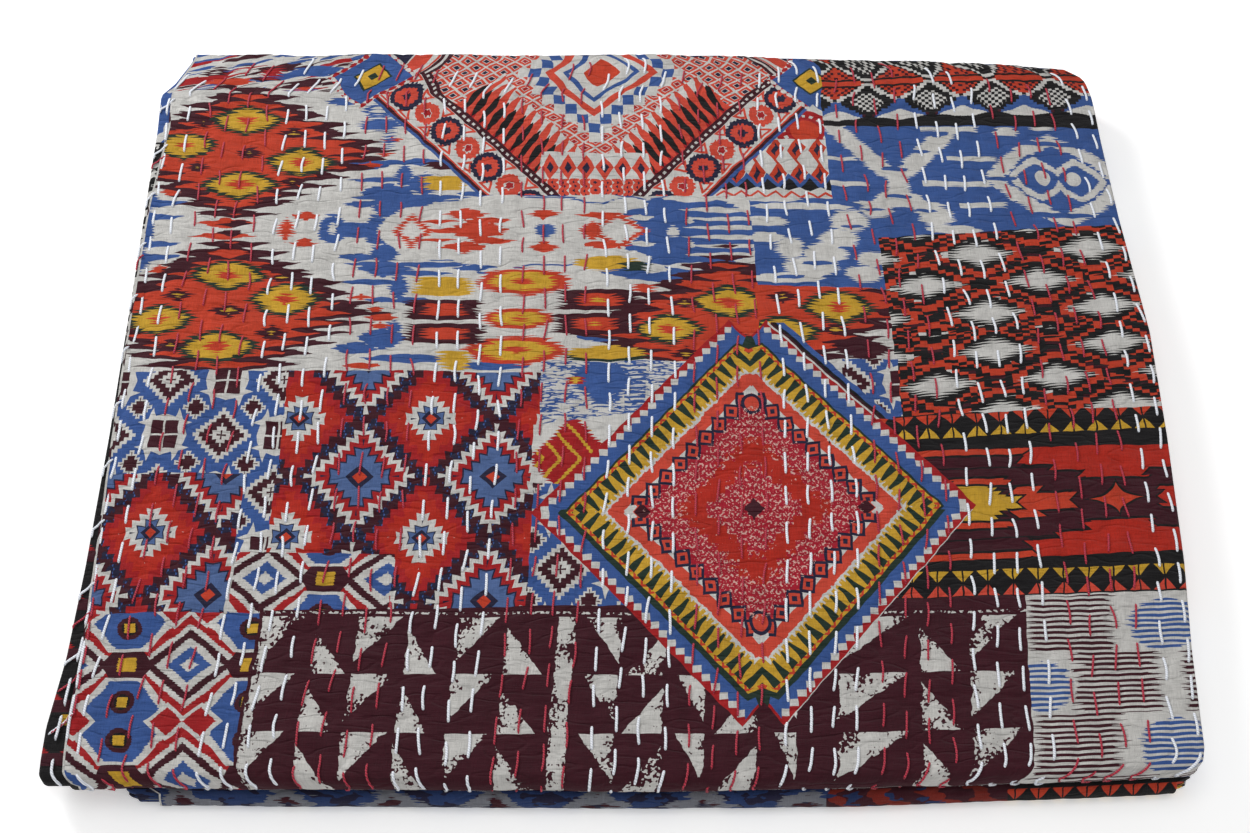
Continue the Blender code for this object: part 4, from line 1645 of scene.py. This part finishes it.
def on_top(x, s, lift):
    """Points above the top ply and round the upper front fold, for s from the back (+) to the front (-)."""
    order = np.argsort(PATH[FRONT_STOPS, 6])
    rows = PATH[FRONT_STOPS][order]
    y, z, face_y, face_z, set_in, taken = (np.interp(s * MM, rows[:, 6], rows[:, i]) for i in range(6))
    height = PITCH * (PLIES - 1) / 2 + PLY / 2 + relief(x, s) * taken + lift
    return settle(x, y + height * face_y, z + height * face_z, 0 * y)


# %% A tube of thread
# An end starts at TIP of the full size and grows at the rate of TAPER. Where a tube goes steeply down, so
# that its upward side is shorter than STEEP, that side looks to the front.
TAPER = 9
TIP = 0.45
STEEP = 0.2


def add_tube(points, faces, line, thread):
    """Adds a closed tube along a row of points, flattened on the cloth, with lobes that turn along it."""
    along = np.gradient(line, axis=0)
    along /= np.linalg.norm(along, axis=1)[:, None]
    up = np.array([0.0, 0.0, 1.0]) - along * along[:, 2:3]
    steep = np.linalg.norm(up, axis=1)[:, None] < STEEP
    up = np.where(steep, np.array([0.0, -1.0, 0.0]), up)
    up /= np.linalg.norm(up, axis=1)[:, None]
    across = np.cross(along, up)
    first = len(points)
    sides = thread["sides"]
    count = len(line)
    share = np.linspace(0, 1, count)
    taper = np.clip(np.minimum(share, 1 - share) * TAPER + TIP, 0, 1)
    for i in range(count):
        twist = thread["turns"] * 2 * math.pi * share[i]
        for k in range(sides):
            angle = 2 * math.pi * k / sides
            size = (1 + thread["lobes"] * math.cos(2 * (angle - twist))) * taper[i]
            offset = across[i] * math.cos(angle) * thread["across"] + up[i] * math.sin(angle) * thread["up"]
            points.append(line[i] + offset * size)
    for ring in range(first, first + (count - 1) * sides, sides):
        for k in range(sides):
            m = (k + 1) % sides
            faces.append((ring + k, ring + m, ring + sides + m, ring + sides + k))
    faces.append(tuple(range(first, first + sides))[::-1])
    faces.append(tuple(range(first + (count - 1) * sides, first + count * sides)))


# %% Stitches of one colour
WHITE_ROWS_FIRST = 2
BAND = 4
FRONT_END = -0.2985
BACK_END = 0.289
PAST_FRONT_END = 0.004
STITCH_LENGTHS = (0.0155, 0.0195)
STITCH_STEPS = (0.93, 1.07)
STITCH_SLANT = 0.0005
STITCH_BOW = 0.0004
STITCH_CROWN = 0.00035
STITCH_LIES = 0.75
DIP_DEPTH = 0.0013
DIP_LENGTH = 0.0011
THREADS = {
    "white": {"across": 0.00086, "up": 0.00050, "sides": 8, "steps": 13, "lobes": 0.10, "turns": 3},
    "crimson": {"across": 0.00066, "up": 0.00052, "sides": 7, "steps": 21, "lobes": 0.24, "turns": 3.5},
}


def colour_of_row(row):
    return "crimson" if ((row - WHITE_ROWS_FIRST) // BAND) % 2 == 0 else "white"


def row_stitches(colour, rng):
    """The lines of the stitches in all rows of one colour."""
    share = np.linspace(0, 1, THREADS[colour]["steps"])
    lines = []
    for row in range(ROWS):
        if colour_of_row(row) != colour:
            continue
        s = BACK_END - row_shift[row] * STITCH_PITCH
        while s > FRONT_END:
            length = rng.uniform(*STITCH_LENGTHS)
            slant = rng.normal(0, STITCH_SLANT)
            bow = rng.normal(0, STITCH_BOW)
            at_s = np.maximum(s - share * length, FRONT_END - PAST_FRONT_END)
            x = row_place(row, at_s) + slant * (share - 0.5) * 2 + bow * np.sin(math.pi * share)
            buried = np.minimum(share, 1 - share) * length
            lift = THREADS[colour]["up"] * STITCH_LIES - DIP_DEPTH * np.exp(-((buried / DIP_LENGTH) ** 2))
            lines.append(on_top(x, at_s, lift + STITCH_CROWN * np.sin(math.pi * share)))
            s -= STITCH_PITCH * rng.uniform(*STITCH_STEPS)
    return lines


# Stitches over the hem. Columns: colour, from and to along the cloth, from and to across, from the hem
HEM_STITCHES = [("white", s, s - 0.012, 0.0030, -0.0110) for s in np.arange(0.245, -0.265, -0.0445)]
HEM_STITCHES += [("crimson", s, s - 0.011, 0.0028, -0.0100) for s in (-0.176, -0.218, -0.245, 0.1, 0.19)]
HEM_STITCHES += [("crimson", s, s - 0.013, 0.0030, 0.0032) for s in np.arange(-0.150, -0.245, -0.0165)]
HEM_STITCHES += [("white", -0.196, -0.228, 0.0012, 0.0016), ("white", -0.232, -0.262, 0.0015, 0.0010)]
HEM_FURTHEST = 0.001
HEM_BEND_STARTS = 0.0012
HEM_BEND_OVER = 0.0030


def hem_stitches(colour):
    """The lines of the slanted stitches from the face, over the hem and down to the layer under it."""
    lines = []
    for stitch_colour, s0, s1, x0, x1 in HEM_STITCHES:
        if stitch_colour != colour:
            continue
        share = np.linspace(0, 1, THREADS[colour]["steps"])
        at_s = s0 + (s1 - s0) * share
        hem = hem_at(at_s)
        x = np.maximum(hem + x0 + (x1 - x0) * share, -HALF_LONG + HEM_FURTHEST)
        beyond = smooth((hem + HEM_BEND_STARTS - x) / HEM_BEND_OVER)
        lift = HEM_RISE + THREADS[colour]["up"] * 1.1
        lift = lift - beyond * (PITCH + HEM_RISE * 0.5) - relief(x, at_s) * beyond * 0.8
        lines.append(on_top(x, at_s, lift))
    return lines


def thread_material(name, colour, dark):
    """Soft cotton thread: slanting stripes of painted highlight and painted shade along its twist, and fibres
    in its colour and its bump.
    """
    material, r, shader = surface(name)
    at = r.node("ShaderNodeTexCoord", None, None, "Object")
    fibres = r.node("ShaderNodeTexNoise", None, {"Vector": at, "Scale": 2600.0, "Detail": 2.0})
    # Stripes across the thread, mixed from colour to dark: painted highlight and painted shade of its two
    # twisted strands, with fibres that vary its tone.
    twist = r.vector("DOT_PRODUCT", at, (420, 640, 0), 1).fold(0.5)
    fibres_and_painted_twist_light = r.dye(dark, colour, fibres * 0.3 + twist * 2.2 - 0.2)
    normal = r.node("ShaderNodeBump", None, {"Height": fibres, "Strength": 0.35, "Distance": 0.0003})
    r.feed(shader, {"Base Color": fibres_and_painted_twist_light, "Normal": normal, "Roughness": 0.72, "Sheen Weight": 0.12})
    return material


def joined(name, points, faces, material):
    mesh = bpy.data.meshes.new(name)
    mesh.from_pydata([tuple(p) for p in points], [], faces)
    mesh.materials.append(material)
    mesh.shade_smooth()
    return placed(name, mesh)


# Each thread gets the colour of its painted highlight, then the colour of its painted shade.
WHITE_THREAD = thread_material("white_thread", ink(244, 246, 250), ink(196, 202, 214))
CRIMSON_THREAD = thread_material("crimson_thread", ink(208, 44, 74), ink(104, 4, 22))
stitch_rng = np.random.default_rng(21)
thread_pieces = []
for colour, material in (("white", WHITE_THREAD), ("crimson", CRIMSON_THREAD)):
    row_lines = row_stitches(colour, stitch_rng)
    points, faces = [], []
    for line in row_lines + hem_stitches(colour):
        add_tube(points, faces, line, THREADS[colour])
    thread_pieces.append(joined(f"{colour}_running_stitch", points, faces, material))
    print(colour, "stitches", len(row_lines), "faces", len(faces))

# %% [markdown]
# ## The stage
#
# A plain white table, large soft lights, and the camera where the photographer stood: in front, looking
# down at 57 degrees. The camera's place and turn are known from the corners of the folded stack.

# %% Floor
PURE_WHITE = (1, 1, 1, 1)
TABLE_GLOW = 0.27
TABLE_HALF = 6


def floor_material():
    material, r, shader = surface("white_table")
    r.feed(shader, {
        "Base Color": PURE_WHITE,
        "Emission Color": PURE_WHITE,
        "Emission Strength": TABLE_GLOW,
        "Roughness": 0.9,
    })
    return material


TABLE_CORNERS = [(x * TABLE_HALF, y * TABLE_HALF, 0) for x, y in ((-1, -1), (1, -1), (1, 1), (-1, 1))]
floor = joined("table", TABLE_CORNERS, [(0, 1, 2, 3)], floor_material())

# %% Camera
CAMERA_PLACE = Vector((-0.01293, -0.70433, 1.04890))
LOOKS_DOWN = math.radians(56.594)
LOOKS_ASIDE = math.radians(0.5949)
ROLL = math.radians(0.79958)
LENS = 54.0
FILM_WIDTH = 36

forward = Vector((
    math.sin(LOOKS_ASIDE) * math.cos(LOOKS_DOWN),
    math.cos(LOOKS_ASIDE) * math.cos(LOOKS_DOWN),
    -math.sin(LOOKS_DOWN),
))
right = Vector((math.cos(LOOKS_ASIDE), -math.sin(LOOKS_ASIDE), 0))
upward = right.cross(forward)
camera_x = right * math.cos(ROLL) + upward * math.sin(ROLL)
camera_y = upward * math.cos(ROLL) - right * math.sin(ROLL)
camera_data = bpy.data.cameras.new("camera")
camera_data.lens = LENS
camera_data.sensor_width = FILM_WIDTH
camera = placed("camera", camera_data)
camera_turn = Matrix((camera_x, camera_y, -forward)).transposed().to_4x4()
camera.matrix_world = Matrix.Translation(CAMERA_PLACE) @ camera_turn
bpy.context.scene.camera = camera

# %% Lights
# Columns: name, place, size, watts
LAMPS = (
    ("window_light", (-1.3, 1.3, 1.05), 0.8, 31),
    ("front_light", (0.9, -1.7, 1.8), 1.8, 10),
    ("overhead_light", (0.1, 0.1, 2.4), 2.0, 17),
)
for name, place, size, watts in LAMPS:
    lamp_data = bpy.data.lights.new(name, "AREA")
    lamp_data.size = size
    lamp_data.energy = watts
    lamp = placed(name, lamp_data)
    lamp.location = place
    lamp.rotation_euler = (-Vector(place)).to_track_quat("-Z", "Y").to_euler()

ROOM_LIGHT = 0.34
world = bpy.data.worlds.new("soft_room")
world.use_nodes = True
background = world.node_tree.nodes["Background"]
background.inputs["Color"].default_value = PURE_WHITE
background.inputs["Strength"].default_value = ROOM_LIGHT
bpy.context.scene.world = world
bpy.context.scene.view_settings.view_transform = "Standard"

# %% [markdown]
# ## Fitting it to the frame
#
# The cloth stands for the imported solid, and all pieces ride on the one body.

# %% Frame calls
for piece in (quilt, *thread_pieces):
    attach(piece, "root")
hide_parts("kantha_quilt")
